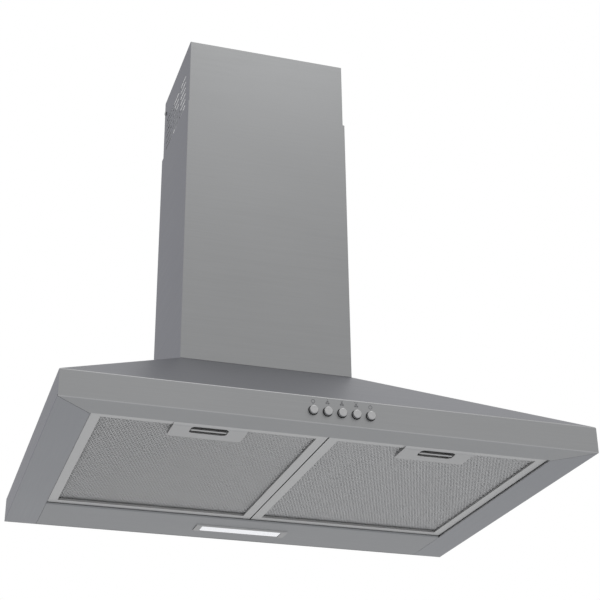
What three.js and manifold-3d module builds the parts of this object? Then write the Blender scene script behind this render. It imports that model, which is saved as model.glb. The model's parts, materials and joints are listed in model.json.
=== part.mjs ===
// Wall-mounted pyramid range hood with a telescoping chimney, in millimetres.
// X runs to the right, -Y to the front, +Y into the wall and Z up. Inside the assembly the wall is
// the plane y = 0 and the underside is z = 0; the finished group is lowered so that the origin is
// the point of the rear face midway between the two keyhole hangers.
import * as THREE from 'three';
import { mergeVertices } from 'three/addons/utils/BufferGeometryUtils.js';
import Module from 'manifold-3d';

const wasm = await Module();
wasm.setup();

// ---------------------------------------------------------------- driving dimensions

const GAP = 0.3; // clearance between pieces that seat on each other
const SHEET = 1; // stainless sheet of the canopy and the chimney
const ROUND_STEPS = 24; // facets of a plain round piece
const CURVE_STEPS = 6; // facets of a corner in a drawn outline

const HOOD_WIDTH = 600;
const HOOD_DEPTH = 450;
const LIP_HEIGHT = 30;
const CANOPY_HEIGHT = 180;
const REAR_RETURN = 12; // flange folded inwards along the open rear edges

const BORDER_SIDE = 40; // flat border beside the filters
const BORDER_FRONT = 38;
const BORDER_REAR = 91;
const RIM_HEIGHT = 8; // edge turned up round the filter opening

const LOWER_COVER = { width: 230, depth: 170, length: 390 };
const UPPER_COVER_LENGTH = 390;
const COVER_PLAY = { side: 0.5, front: 2 }; // room round the upper cover inside the lower one
const COVER_TOP = 672; // top of the upper cover at rest
const COVER_RETURN = 12;
const BASE_FRAME = { height: 20, flange: 10, play: 0.4 };

const VENT = { height: 4, length: 36, bridge: 8, pitch: 10, rows: 9, columns: 3, drop: 40, rear: 19 };
const BRACKET = { drop: 6, height: 35, play: 2.5, ear: 15 };
const COVER_SCREW = { y: -9, drop: 22, head: 3.2, thick: 1.6, shank: 1.5, length: 6 };

const HANGER = { x: 120, z: 140, head: 5, slot: 2.6, rise: 10 };

const FILTER_GAP = 0.8; // play between a filter and the rim round it
const FILTER_MIDDLE_GAP = 1.4; // dark joint between the two filters
const FILTER_RISE = 2; // filters lie this far above the underside
const FILTER_THICK = 9;
const FILTER_FACE = 11.5; // width of the frame's flanges
const FRAME_SHEET = 1;
const MESH_THICK = 3;
const HINGE_BACK = 1; // the swing axis lies this far behind the frame
const TAB = { inner: 60, outer: 90, reach: 5.3, thick: 1.2 };

const HANDLE = { width: 82, depth: 36.5, inset: 7, thick: 1.4, corner: 4, nose: 2 };
const FINGER_SLOT = { width: 41, depth: 20.5, inset: 0.8 };
const LATCH = { rail: 3, lip: 2.5, thick: 3, bar: 8.5, tongue: 24, travel: 5 };
const LATCH_CASE = { wall: 1.6, play: 0.4, roof: 1.2, headroom: 1.3, springRoom: 5 };

const LAMP = { width: 122, depth: 27.5, shift: 0.75, flange: 1, frame: 8, wall: 1.2, height: 9 };
const LENS_THICK = 2;
const LED_BOARD = { thick: 1.2, z: 6, chips: 6, chip: 3.2, chipThick: 0.8, ledge: 3 };
const DRIVER = { lead: 28, width: 62, depth: 22, height: 18 };

const BUTTON = { count: 5, pitch: 16, z: 14, radius: 4.8, proud: 5, stem: 2.6, play: 0.6, stroke: 3 };
const SWITCH = { width: 88, depth: 24, top: 24, plate: 1 };

const FAN = { y: -78, drop: 68, radius: 60, bladeRoot: 49, halfWidth: 52, blades: 28, bladeThick: 1.2 };
const FAN_RING = { width: 6, thick: 1.5 };
const FAN_DISC = 2; // thickness of the wheel's middle disc
const FAN_HUB = { radius: 11, left: 14, right: 3 };
const BLADE_LEAN = 0.13; // forward curve of the blade tip, radians
const SCROLL = { wall: 2, start: 4, growth: 20, halfWidth: 60, inlet: 50, lip: 6, rise: 32 };
const TONGUE_ANGLE = 60; // degrees above the rear horizontal
const SCROLL_FLANGE = 6;
const EAR = { width: 28, depth: 20, thick: 1.7, hole: 18, spacing: 70 };
const EAR_SCREW = { head: 3.5, thick: 1.7, shank: 1.5, play: 0.4, length: 6 };
const DECK_SIDE_PLAY = 8;
const DECK_FRONT_PLAY = 1.5;

const SHAFT = { radius: 4, left: 22, right: 30 };
const NUT = { radius: 7.5, thick: 5 };
const MOTOR = { radius: 36, left: 6, right: 66, boss: 14, bossLength: 4 };
const SPIDER = { ring: 4, thick: 2.5, arm: 10, arms: 3, overlap: 8 };

const COLLAR = { radius: 60, wall: 1.5, height: 56, plate: 1.7, plateHalf: 66, plateDepth: 61.5 };
const FLAP = { axis: 4, thick: 1.5, barrel: 2, pin: 1.6, play: 1.2, rise: 28 };
const PIN_PLAY = 0.4;
const STOP = { width: 8, depth: 5, height: 3 };

const TERMINAL_BOX = { play: 2.3, depth: 44, height: 30, wall: 1.6, lid: 1.7 };
const CAPACITOR = { play: 3.8, height: 48, stud: 3, studHeight: 5 };
const GROMMET = { y: -28, hole: 8, bore: 5, brim: 2.5, thick: 1.3 };

// ---------------------------------------------------------------- sizes that follow

const DECK_BOTTOM = CANOPY_HEIGHT - SHEET;
const DECK_SEAT = CANOPY_HEIGHT + GAP; // what stands on the deck starts here
const SHELL_REAR = -(SHEET + GAP); // the shell ends in front of the back panel
const UPPER_COVER = {
  width: LOWER_COVER.width - 2 * (SHEET + COVER_PLAY.side),
  depth: LOWER_COVER.depth - SHEET - COVER_PLAY.front,
};
const BRACKET_TOP = COVER_TOP - BRACKET.drop;
const COVER_SCREW_Z = COVER_TOP - COVER_SCREW.drop;
const OPENING = {
  halfWidth: HOOD_WIDTH / 2 - BORDER_SIDE,
  front: -HOOD_DEPTH + BORDER_FRONT,
  rear: -BORDER_REAR,
};
const FILTER_WIDTH = OPENING.halfWidth - FILTER_GAP - FILTER_MIDDLE_GAP / 2;
const FILTER_X = (FILTER_WIDTH + FILTER_MIDDLE_GAP) / 2;
const HINGE_Y = OPENING.rear - GAP;
const FILTER_REAR = HINGE_Y - HINGE_BACK;
const FILTER_FRONT = OPENING.front + FILTER_GAP;
const FILTER_TOP = FILTER_RISE + FILTER_THICK;
const HANDLE_FRONT = OPENING.front + HANDLE.inset;
const HANDLE_REAR = HANDLE_FRONT + HANDLE.depth;
const FINGER_FRONT = HANDLE_FRONT + FINGER_SLOT.inset;
const LAMP_Y = LAMP.shift - BORDER_REAR / 2;
const DRIVER_X = LAMP.width / 2 + DRIVER.lead + DRIVER.width / 2;
const FAN_Z = CANOPY_HEIGHT - FAN.drop;
const EXIT_TOP = CANOPY_HEIGHT + SCROLL.rise;
const EXIT = {
  front: FAN.y - FAN.radius - SCROLL.start - SCROLL.growth,
  rear: FAN.y + (FAN.radius + SCROLL.start) * Math.cos(THREE.MathUtils.degToRad(TONGUE_ANGLE)),
};
const COLLAR_Y = (EXIT.front + EXIT.rear) / 2;
const COLLAR_Z = EXIT_TOP + GAP;
const BLOWER_HALF = SCROLL.halfWidth + SCROLL.wall;
/** Strip of the deck on each side, between the blower's hole and the base frame. */
const SHELF = {
  inner: BLOWER_HALF + DECK_SIDE_PLAY,
  outer: LOWER_COVER.width / 2 - SHEET - BASE_FRAME.play - BASE_FRAME.flange,
};
const SHELF_X = (SHELF.inner + SHELF.outer) / 2;
const SHELF_HALF = (SHELF.outer - SHELF.inner) / 2;

// ---------------------------------------------------------------- materials

function finish(color, roughness, metalness) {
  return new THREE.MeshStandardMaterial({ color, roughness, metalness });
}

const STAINLESS = finish(0x9a9b9a, 0.35, 1);
const GALVANISED = finish(0xa9adb0, 0.5, 0.9);
const ALUMINIUM = finish(0xb4b4b4, 0.4, 1);
const MESH_METAL = finish(0x8e8e8e, 0.5, 1);
const CHROME = finish(0xd8d8da, 0.12, 1);
const STEEL = finish(0x8f9294, 0.3, 1);
const BLACK_PLASTIC = finish(0x222324, 0.6, 0);
const GREY_PLASTIC = finish(0x6f7274, 0.55, 0);
const WHITE_PLASTIC = finish(0xe9e9e6, 0.5, 0);
const OPAL = finish(0xfdfdfd, 0.3, 0);
const RUBBER = finish(0x1b1b1b, 0.9, 0);
const CIRCUIT_BOARD = finish(0xf2f2ee, 0.6, 0);

// ---------------------------------------------------------------- solids

/** Closed three.js geometry as a solid that can be cut and joined. */
function solid(geometry) {
  geometry.deleteAttribute('normal');
  geometry.deleteAttribute('uv');
  const merged = mergeVertices(geometry, 1e-4);
  return new wasm.Manifold(new wasm.Mesh({
    numProp: 3,
    vertProperties: new Float32Array(merged.attributes.position.array),
    triVerts: new Uint32Array(merged.index.array),
  }));
}

/** Box between two limits on each axis. */
function block([x0, x1], [y0, y1], [z0, z1]) {
  const geometry = new THREE.BoxGeometry(x1 - x0, y1 - y0, z1 - z0);
  return solid(geometry.translate((x0 + x1) / 2, (y0 + y1) / 2, (z0 + z1) / 2));
}

/** Box that spans -half..half in X. */
function middleBlock(half, ys, zs) {
  return block([-half, half], ys, zs);
}

/** Limits half a width to either side of a centre. */
function around(centre, half) {
  return [centre - half, centre + half];
}

function outline(points) {
  return new THREE.Shape(points.map(([u, v]) => new THREE.Vector2(u, v)));
}

/** Outline extruded along Z by a depth. */
function prism(shape, depth) {
  return new THREE.ExtrudeGeometry(shape, { depth, bevelEnabled: false, curveSegments: CURVE_STEPS });
}

/** Plan outline (x, y) raised from z0 to z1. */
function raised(shape, z0, z1) {
  return solid(prism(shape, z1 - z0).translate(0, 0, z0));
}

/** Side outline (y, z) run from x0 to x1. */
function alongX(shape, x0, x1) {
  const geometry = prism(shape, x1 - x0).rotateX(Math.PI / 2).rotateZ(Math.PI / 2);
  return solid(geometry.translate(x0, 0, 0));
}

/** Front outline (x, z) run from y0 to y1. */
function alongY(shape, y0, y1) {
  return solid(prism(shape, y1 - y0).rotateX(Math.PI / 2).translate(0, y1, 0));
}

/** Solid of revolution about Z; the profile holds [radius, height] pairs. */
function turned(profile, steps = ROUND_STEPS) {
  const points = [...profile, profile[0]].map(([r, z]) => new THREE.Vector2(r, z));
  return solid(new THREE.LatheGeometry(points, steps).rotateX(Math.PI / 2));
}

/** Round bar of a radius between two heights, on the Z axis. */
function bar(radius, z0, z1, steps = ROUND_STEPS) {
  return turned([[0, z0], [radius, z0], [radius, z1], [0, z1]], steps);
}

/** Turns a Z-axis solid to lie along +X and moves it to (x, y, z). */
function towardsX(piece, x, y, z) {
  return piece.rotate([0, 90, 0]).translate([x, y, z]);
}

/** Turns a Z-axis solid to point along -Y and moves it to (x, y, z). */
function towardsFront(piece, x, y, z) {
  return piece.rotate([90, 0, 0]).translate([x, y, z]);
}

function union(pieces) {
  return pieces.reduce((sum, piece) => sum.add(piece));
}

function mirrored(piece) {
  return piece.mirror([1, 0, 0]);
}

/** Frustum between two rectangles whose rear edges share the plane y = rear. */
function frustum(low, high, rear) {
  const ring = ({ half, front, z }) => [
    [-half, front, z], [half, front, z], [half, rear, z], [-half, rear, z],
  ];
  const geometry = new THREE.BufferGeometry();
  const corners = [...ring(low), ...ring(high)].flat();
  geometry.setAttribute('position', new THREE.Float32BufferAttribute(corners, 3));
  const sides = [0, 1, 2, 3].flatMap((i) => {
    const next = (i + 1) % 4;
    return [i, next, next + 4, i, next + 4, i + 4];
  });
  geometry.setIndex([0, 2, 1, 0, 3, 2, 4, 5, 6, 4, 6, 7, ...sides]);
  return solid(geometry);
}

/** Outline of a strip of sheet whose outer side follows the points; side 1 lies to their left. */
function stripOutline(points, thickness, side) {
  const path = points.map(([u, v]) => new THREE.Vector2(u, v));
  const inner = path.map((point, i) => {
    const before = path[i].clone().sub(path[Math.max(i - 1, 0)]);
    const after = path[Math.min(i + 1, path.length - 1)].clone().sub(point);
    const first = (i > 0 ? before : after).normalize();
    const second = (i < path.length - 1 ? after : before).normalize();
    const normal = new THREE.Vector2(-first.y - second.y, first.x + second.x).normalize();
    const miter = normal.dot(new THREE.Vector2(-first.y, first.x));
    return point.clone().addScaledVector(normal, side * thickness / miter);
  });
  return new THREE.Shape([...path, ...inner.reverse()]);
}

// ---------------------------------------------------------------- assembly

const hood = new THREE.Group();

/** Adds one named piece to the hood. */
function addPiece(name, piece, material) {
  const mesh = piece.getMesh();
  const geometry = new THREE.BufferGeometry();
  geometry.setAttribute('position', new THREE.BufferAttribute(mesh.vertProperties, 3));
  geometry.setIndex(new THREE.BufferAttribute(mesh.triVerts, 1));
  geometry.computeVertexNormals();
  const part = new THREE.Mesh(geometry, material);
  part.name = name;
  hood.add(part);
}

// ---------------------------------------------------------------- canopy

/** Canopy volume with its walls moved inwards by an inset, between two heights and two depths. */
function canopyVolume(inset, [bottom, top], [front, rear]) {
  const rise = CANOPY_HEIGHT - LIP_HEIGHT;
  const sideRun = (HOOD_WIDTH - LOWER_COVER.width) / 2;
  const frontRun = HOOD_DEPTH - LOWER_COVER.depth;
  const sideInset = inset * Math.hypot(sideRun, rise) / rise;
  const frontInset = inset * Math.hypot(frontRun, rise) / rise;
  const section = (z) => ({
    half: HOOD_WIDTH / 2 - sideInset - (z - LIP_HEIGHT) * sideRun / rise,
    front: -HOOD_DEPTH + frontInset + (z - LIP_HEIGHT) * frontRun / rise,
    z,
  });
  const depths = [Math.max(front, -HOOD_DEPTH + inset), rear];
  const box = middleBlock(HOOD_WIDTH / 2 - inset, depths, [bottom, top]);
  return frustum(section(bottom), section(top), rear).intersect(box);
}

function buttonPlaces() {
  return Array.from({ length: BUTTON.count }, (_, i) => (i - (BUTTON.count - 1) / 2) * BUTTON.pitch);
}

function earRows() {
  return [COLLAR_Y - EAR.spacing / 2, COLLAR_Y + EAR.spacing / 2];
}

function earScrewPlaces() {
  const x = BLOWER_HALF + EAR.hole;
  return earRows().flatMap((y) => [[-x, y], [x, y]]);
}

/** Sheet of the three sides with lip, borders and rims, open at the top and not yet parted. */
function canopySheet() {
  const half = OPENING.halfWidth;
  const depths = [-HOOD_DEPTH - 1, SHELL_REAR];
  const behind = [SHELL_REAR - 2 * SHEET, 0];
  const flangeFoot = DECK_BOTTOM - REAR_RETURN;
  const rimZ = [SHEET / 2, RIM_HEIGHT];
  const rimY = [OPENING.front - SHEET, OPENING.rear];
  return union([
    canopyVolume(0, [0, DECK_BOTTOM - GAP], depths)
      .subtract(canopyVolume(SHEET, [SHEET, CANOPY_HEIGHT], [depths[0], SHELL_REAR - SHEET]))
      .subtract(canopyVolume(REAR_RETURN, [SHEET, flangeFoot], behind))
      .subtract(canopyVolume(SHEET, [flangeFoot - GAP, CANOPY_HEIGHT], behind))
      .subtract(middleBlock(half, [OPENING.front, 0], [-1, 2 * SHEET]))
      .subtract(middleBlock(half + GAP, behind, [-1, REAR_RETURN + SHEET])),
    block([-half - SHEET, -half], rimY, rimZ),
    block([half, half + SHEET], rimY, rimZ),
    middleBlock(half + SHEET, [OPENING.front - SHEET, OPENING.front], rimZ),
  ]);
}

/** Share of the sheet beside the right-hand corner joint (side 1) or in front of it (side -1). */
function besideJoint(sheet, side) {
  const corner = new THREE.Vector2(HOOD_WIDTH / 2, -HOOD_DEPTH);
  const far = 2 * HOOD_WIDTH;
  const otherShare = (end, z0, z1) => {
    const along = end.clone().sub(corner).normalize();
    const across = new THREE.Vector2(along.y, -along.x).multiplyScalar(side);
    const at = (a, c) => corner.clone().addScaledVector(along, a).addScaledVector(across, c);
    const area = [at(-far, -far), at(far, -far), at(far, GAP / 2), at(-far, GAP / 2)];
    return raised(new THREE.Shape(area), z0, z1);
  };
  const mitreEnd = new THREE.Vector2(OPENING.halfWidth, OPENING.front);
  const hipEnd = new THREE.Vector2(LOWER_COVER.width / 2, -LOWER_COVER.depth);
  return sheet.subtract(otherShare(mitreEnd, -SHEET, LIP_HEIGHT))
    .subtract(otherShare(hipEnd, LIP_HEIGHT, CANOPY_HEIGHT));
}

/** Front slope, lip, border and rim in one bent sheet, with the button holes. */
function canopyFront() {
  const holes = buttonPlaces().map((x) => towardsFront(
    bar(BUTTON.radius + BUTTON.play, -2 * SHEET, 2 * SHEET, 16), x, -HOOD_DEPTH, BUTTON.z));
  const front = mirrored(besideJoint(mirrored(besideJoint(canopySheet(), -1)), -1));
  return front.subtract(union(holes));
}

function canopySide() {
  return besideJoint(canopySheet(), 1);
}

/** Flat top of the canopy with its rear flange, the blower's hole, screw holes and the lead's hole. */
function canopyDeck() {
  const through = [DECK_BOTTOM - 1, CANOPY_HEIGHT + 1];
  const flangeZ = [DECK_BOTTOM - REAR_RETURN, DECK_BOTTOM + SHEET / 2];
  const holeFront = EXIT.front - SCROLL.wall - DECK_FRONT_PLAY;
  const holeRear = EXIT.rear + SCROLL.wall + DECK_FRONT_PLAY;
  const screwHole = bar(EAR_SCREW.shank + EAR_SCREW.play, ...through, 12);
  return canopyVolume(0, [DECK_BOTTOM, CANOPY_HEIGHT], [-HOOD_DEPTH, SHELL_REAR])
    .add(canopyVolume(SHEET + GAP, flangeZ, [SHELL_REAR - SHEET, SHELL_REAR]))
    .subtract(middleBlock(SHELF.inner, [holeFront, holeRear], through))
    .subtract(union(earScrewPlaces().map(([x, y]) => screwHole.translate([x, y, 0]))))
    .subtract(bar(GROMMET.hole, ...through).translate([-SHELF_X, GROMMET.y, 0]));
}

/** Rear strip of the underside, turned up on all four sides, with the lamp cut-out. */
function rearLightPanel() {
  const half = OPENING.halfWidth - GAP;
  const tray = middleBlock(half, [OPENING.rear, SHELL_REAR], [0, REAR_RETURN]);
  const above = REAR_RETURN + 1;
  const well = middleBlock(half - SHEET, [OPENING.rear + SHEET, SHELL_REAR - SHEET], [SHEET, above]);
  const frontTrim = middleBlock(half + 1, [OPENING.rear - 1, SHELL_REAR - 2 * SHEET], [RIM_HEIGHT, above]);
  const wallHalf = LAMP.width / 2 - LAMP.frame / 2 + GAP;
  const wallDepth = LAMP.depth / 2 - LAMP.wall + GAP;
  return tray.subtract(well).subtract(frontTrim)
    .subtract(middleBlock(wallHalf, around(LAMP_Y, wallDepth), [-1, 2 * SHEET]));
}

function keyhole() {
  const head = bar(HANGER.head, -1, SHEET + 1).rotate([90, 0, 0]);
  const slot = middleBlock(HANGER.slot, [-SHEET - 1, 1], [0, HANGER.rise]);
  const end = bar(HANGER.slot, -1, SHEET + 1, 16).rotate([90, 0, 0]).translate([0, 0, HANGER.rise]);
  return union([head, slot, end]);
}

function backPanel() {
  const foot = HOOD_WIDTH / 2;
  const top = LOWER_COVER.width / 2;
  const shape = outline([
    [-foot, 0], [foot, 0], [foot, LIP_HEIGHT],
    [top, CANOPY_HEIGHT], [-top, CANOPY_HEIGHT], [-foot, LIP_HEIGHT],
  ]);
  return alongY(shape, -SHEET, 0)
    .subtract(keyhole().translate([HANGER.x, 0, HANGER.z]))
    .subtract(keyhole().translate([-HANGER.x, 0, HANGER.z]));
}

// ---------------------------------------------------------------- chimney

/** Duct cover: front and two sides, open at top and bottom, with two returns at the rear. */
function ductCover(cover, rear, bottom, top) {
  const half = cover.width / 2;
  const heights = [bottom - 1, top + 1];
  return middleBlock(half, [-cover.depth, rear], [bottom, top])
    .subtract(middleBlock(half - SHEET, [-cover.depth + SHEET, rear - SHEET], heights))
    .subtract(middleBlock(half - COVER_RETURN, [rear - 2 * SHEET, rear + 1], heights));
}

/** All vent slots of both sides of the upper cover, with their corners cut. */
function ventSlots() {
  const { height, length } = VENT;
  const cut = height / 3;
  const slot = outline([
    [0, cut], [cut, 0], [length - cut, 0], [length, cut],
    [length, height - cut], [length - cut, height], [cut, height], [0, height - cut],
  ]);
  const through = alongX(slot, -UPPER_COVER.width, UPPER_COVER.width);
  const slots = [];
  for (let row = 0; row < VENT.rows; row += 1) {
    for (let column = 0; column < VENT.columns; column += 1) {
      const y = -VENT.rear - length - column * (length + VENT.bridge);
      const z = COVER_TOP - VENT.drop - height - row * VENT.pitch;
      slots.push(through.translate([0, y, z]));
    }
  }
  return union(slots);
}

function coverScrewHole(radius) {
  const half = UPPER_COVER.width;
  return towardsX(bar(radius, -half, half, 12), 0, COVER_SCREW.y, COVER_SCREW_Z);
}

function lowerDuctCover() {
  return ductCover(LOWER_COVER, 0, DECK_SEAT, CANOPY_HEIGHT + LOWER_COVER.length);
}

function upperDuctCover() {
  return ductCover(UPPER_COVER, SHELL_REAR, COVER_TOP - UPPER_COVER_LENGTH, COVER_TOP)
    .subtract(ventSlots())
    .subtract(coverScrewHole(COVER_SCREW.shank + GAP));
}

/** Strap on the wall whose ends step forward past the returns and turn along the sides. */
function upperWallBracket() {
  const side = UPPER_COVER.width / 2 - SHEET - GAP;
  const step = SHELL_REAR - SHEET - GAP;
  const front = step - SHEET - BRACKET.ear;
  const strap = UPPER_COVER.width / 2 - COVER_RETURN - BRACKET.play;
  const path = [
    [-side, front], [-side, step], [-strap, step], [-strap, 0],
    [strap, 0], [strap, step], [side, step], [side, front],
  ];
  return raised(stripOutline(path, SHEET, -1), BRACKET_TOP - BRACKET.height, BRACKET_TOP)
    .subtract(coverScrewHole(COVER_SCREW.shank + GAP));
}

/** Profile of a pan-head screw whose head seats on height 0. */
function panHead({ head, thick, shank, length }) {
  return [
    [0, -length], [shank, -length], [shank, 0], [head, 0], [head, thick / 2], [head / 2, thick], [0, thick],
  ];
}

function coverScrew() {
  const profile = panHead(COVER_SCREW);
  return towardsX(turned(profile, 12), UPPER_COVER.width / 2 + GAP, COVER_SCREW.y, COVER_SCREW_Z);
}

/** Angle that stands on the deck and locates the foot of the lower cover. */
function coverBaseFrame() {
  const half = LOWER_COVER.width / 2 - SHEET - BASE_FRAME.play;
  const front = -LOWER_COVER.depth + SHEET + BASE_FRAME.play;
  const rear = SHELL_REAR - SHEET;
  const top = DECK_SEAT + BASE_FRAME.height;
  return middleBlock(half, [front, rear], [DECK_SEAT, top])
    .subtract(middleBlock(half - SHEET, [front + SHEET, 0], [DECK_SEAT + SHEET, top + 1]))
    .subtract(middleBlock(half - BASE_FRAME.flange, [EXIT.front - SCROLL.wall - 1, 0], [DECK_SEAT - 1, top]));
}

// ---------------------------------------------------------------- lamp

function lampBezel() {
  const half = LAMP.width / 2;
  const depth = LAMP.depth / 2;
  const wallHalf = half - LAMP.frame / 2;
  const wallDepth = depth - LAMP.wall;
  const lens = lensHalves();
  const at = (d) => around(LAMP_Y, d);
  const flange = middleBlock(half, at(depth), [-LAMP.flange - GAP, -GAP]);
  const walls = middleBlock(wallHalf, at(wallDepth), [-LAMP.flange / 2 - GAP, LAMP.height]);
  const cavityHalf = wallHalf - LAMP.wall;
  const cavity = middleBlock(cavityHalf, at(wallDepth - LAMP.wall), [LENS_THICK, LAMP.height + 1]);
  const ledgeZ = [LED_BOARD.z - GAP - SHEET, LED_BOARD.z - GAP];
  const ledge = block([cavityHalf - LED_BOARD.ledge, cavityHalf + LAMP.wall / 2], at(wallDepth / 2), ledgeZ);
  const window = middleBlock(lens.half + GAP, at(lens.depth + GAP), [-LAMP.flange - 1, LENS_THICK + 1]);
  return flange.add(walls).subtract(cavity).subtract(window).add(ledge).add(mirrored(ledge));
}

function lensHalves() {
  return { half: LAMP.width / 2 - LAMP.frame, depth: LAMP.depth / 2 - LAMP.frame / 2 };
}

function lampLens() {
  const { half, depth } = lensHalves();
  const bottom = -LAMP.flange;
  return middleBlock(half, around(LAMP_Y, depth), [bottom, bottom + LENS_THICK]);
}

/** Board on the bezel's ledges with a row of chips underneath. */
function ledBoard() {
  const half = LAMP.width / 2 - LAMP.frame / 2 - LAMP.wall - GAP;
  const depth = lensHalves().depth - SHEET;
  const { chips, chip, chipThick, thick, z } = LED_BOARD;
  const board = middleBlock(half, around(LAMP_Y, depth), [z, z + thick]);
  const pitch = 2 * (half - 2 * LED_BOARD.ledge) / chips;
  const row = Array.from({ length: chips }, (_, i) => {
    const x = (i - (chips - 1) / 2) * pitch;
    return block(around(x, chip / 2), around(LAMP_Y, chip / 2), [z - chipThick, z + thick / 2]);
  });
  return union([board, ...row]);
}

function ledDriver() {
  const { width, depth, height } = DRIVER;
  return block(around(DRIVER_X, width / 2), around(LAMP_Y, depth / 2), [SHEET + GAP, height]);
}

// ---------------------------------------------------------------- controls

const SWITCH_FRONT = -HOOD_DEPTH + SHEET + GAP;
const SWITCH_FLOOR = SHEET + GAP; // the bracket lies on the front border

function pushButton(x) {
  const { radius, proud, stem } = BUTTON;
  const dome = radius / 4;
  const skirt = -SHEET - BUTTON.stroke / 2;
  const root = -SHEET - GAP - SWITCH.depth / 2;
  const profile = [
    [0, root], [stem, root], [stem, skirt], [radius, skirt], [radius, proud - dome],
    [radius * 0.92, proud - dome * 0.5], [radius * 0.7, proud - dome * 0.15], [0, proud],
  ];
  return towardsFront(turned(profile, 16), x, -HOOD_DEPTH, BUTTON.z);
}

/** Switch body with a well for each cap and a bore for each stem. */
function switchBlock() {
  const rear = SWITCH_FRONT + SWITCH.depth;
  const stemDepth = SWITCH.depth / 2 + BUTTON.stroke + 2 * GAP;
  const wells = buttonPlaces().map((x) => {
    const cap = bar(BUTTON.radius + BUTTON.play, -BUTTON.stroke * 2, 1, 16);
    const stem = bar(BUTTON.stem + PIN_PLAY, -stemDepth, 1, 12);
    return towardsFront(cap.add(stem), x, SWITCH_FRONT, BUTTON.z);
  });
  const heights = [SWITCH_FLOOR + SWITCH.plate + GAP, SWITCH.top];
  return middleBlock(SWITCH.width / 2, [SWITCH_FRONT, rear], heights).subtract(union(wells));
}

function switchBracket() {
  const rear = SWITCH_FRONT + SWITCH.depth + GAP + SWITCH.plate;
  const path = [[SWITCH_FRONT, SWITCH_FLOOR], [rear, SWITCH_FLOOR], [rear, SWITCH.top]];
  return alongX(stripOutline(path, SWITCH.plate, 1), -SWITCH.width / 2, SWITCH.width / 2);
}

// ---------------------------------------------------------------- grease filters

/** Latch sizes shared by the frame's notch, the pad's notch, the case and the slider. */
const BAY = {
  half: FINGER_SLOT.width / 2 + LATCH.rail,
  front: FINGER_FRONT - LATCH.lip,
  rear: FINGER_FRONT + FINGER_SLOT.depth + LATCH.rail,
  floor: FILTER_RISE,
  top: FILTER_RISE + LATCH.thick,
};
const CASE = {
  half: BAY.half + LATCH_CASE.play + LATCH_CASE.wall,
  front: FILTER_FRONT + FILTER_FACE + GAP,
  rear: BAY.rear + LATCH.travel + LATCH_CASE.springRoom,
  top: BAY.top + LATCH_CASE.headroom + LATCH_CASE.roof,
};

function filterFrame() {
  const half = FILTER_WIDTH / 2;
  const span = [FILTER_FRONT, FILTER_REAR];
  const inner = [FILTER_FRONT + FILTER_FACE, FILTER_REAR - FILTER_FACE];
  const web = [FILTER_FRONT + FRAME_SHEET, FILTER_REAR - FRAME_SHEET];
  const tabZ = RIM_HEIGHT + GAP;
  const tabY = [FILTER_REAR - FRAME_SHEET / 2, FILTER_REAR + HINGE_BACK + TAB.reach];
  const tab = block([TAB.inner, TAB.outer], tabY, [tabZ, tabZ + TAB.thick]);
  const flangeNotch = middleBlock(BAY.half + LATCH_CASE.play, [BAY.front - 1, inner[0] + 1],
    [FILTER_RISE - 1, FILTER_RISE + FRAME_SHEET + GAP]);
  const tongueNotch = middleBlock(LATCH.tongue / 2 + GAP, [FILTER_FRONT - 1, BAY.front],
    [FILTER_RISE + FRAME_SHEET - GAP, BAY.top + GAP]);
  return middleBlock(half, span, [FILTER_RISE, FILTER_TOP])
    .subtract(middleBlock(half - FILTER_FACE, inner, [FILTER_RISE - 1, FILTER_TOP + 1]))
    .subtract(middleBlock(half - FRAME_SHEET, web, [FILTER_RISE + FRAME_SHEET, FILTER_TOP - FRAME_SHEET]))
    .subtract(flangeNotch)
    .subtract(tongueNotch)
    .add(tab)
    .add(mirrored(tab));
}

function filterMesh() {
  const half = FILTER_WIDTH / 2 - FRAME_SHEET - GAP;
  const bottom = FILTER_RISE + FRAME_SHEET + GAP;
  const span = [FILTER_FRONT + FRAME_SHEET + GAP, FILTER_REAR - FRAME_SHEET - GAP];
  const notchRear = CASE.rear + LATCH_CASE.wall + GAP;
  return middleBlock(half, span, [bottom, bottom + MESH_THICK])
    .subtract(middleBlock(CASE.half + GAP, [span[0] - 1, notchRear], [0, FILTER_TOP]));
}

/** Plan of the handle plate: small corners, rounder at the rear than at the front edge. */
function handleOutline() {
  const half = HANDLE.width / 2;
  const { corner, nose } = HANDLE;
  const shape = new THREE.Shape();
  shape.moveTo(-half + nose, HANDLE_FRONT);
  shape.lineTo(half - nose, HANDLE_FRONT);
  shape.absarc(half - nose, HANDLE_FRONT + nose, nose, -Math.PI / 2, 0, false);
  shape.absarc(half - corner, HANDLE_REAR - corner, corner, 0, Math.PI / 2, false);
  shape.absarc(-half + corner, HANDLE_REAR - corner, corner, Math.PI / 2, Math.PI, false);
  shape.absarc(-half + nose, HANDLE_FRONT + nose, nose, Math.PI, Math.PI * 1.5, false);
  return shape;
}

function fingerSlotOutline() {
  const radius = FINGER_SLOT.depth / 2;
  const reach = FINGER_SLOT.width / 2 - radius;
  const y = FINGER_FRONT + radius;
  const shape = new THREE.Shape();
  shape.absarc(reach, y, radius, -Math.PI / 2, Math.PI / 2, false);
  shape.absarc(-reach, y, radius, Math.PI / 2, Math.PI * 1.5, false);
  return shape;
}

/** Handle plate with the latch case behind it. */
function filterHandle() {
  const plateZ = [FILTER_RISE - GAP - HANDLE.thick, FILTER_RISE - GAP];
  const caseY = [CASE.front, CASE.rear + LATCH_CASE.wall];
  const caseOuter = middleBlock(CASE.half, caseY, [plateZ[0] + SHEET, CASE.top]);
  const caseInner = middleBlock(BAY.half + LATCH_CASE.play, [CASE.front - 1, CASE.rear],
    [plateZ[0], CASE.top - LATCH_CASE.roof]);
  return raised(handleOutline(), ...plateZ)
    .add(caseOuter.subtract(caseInner))
    .subtract(raised(fingerSlotOutline(), 0, FILTER_RISE));
}

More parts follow.
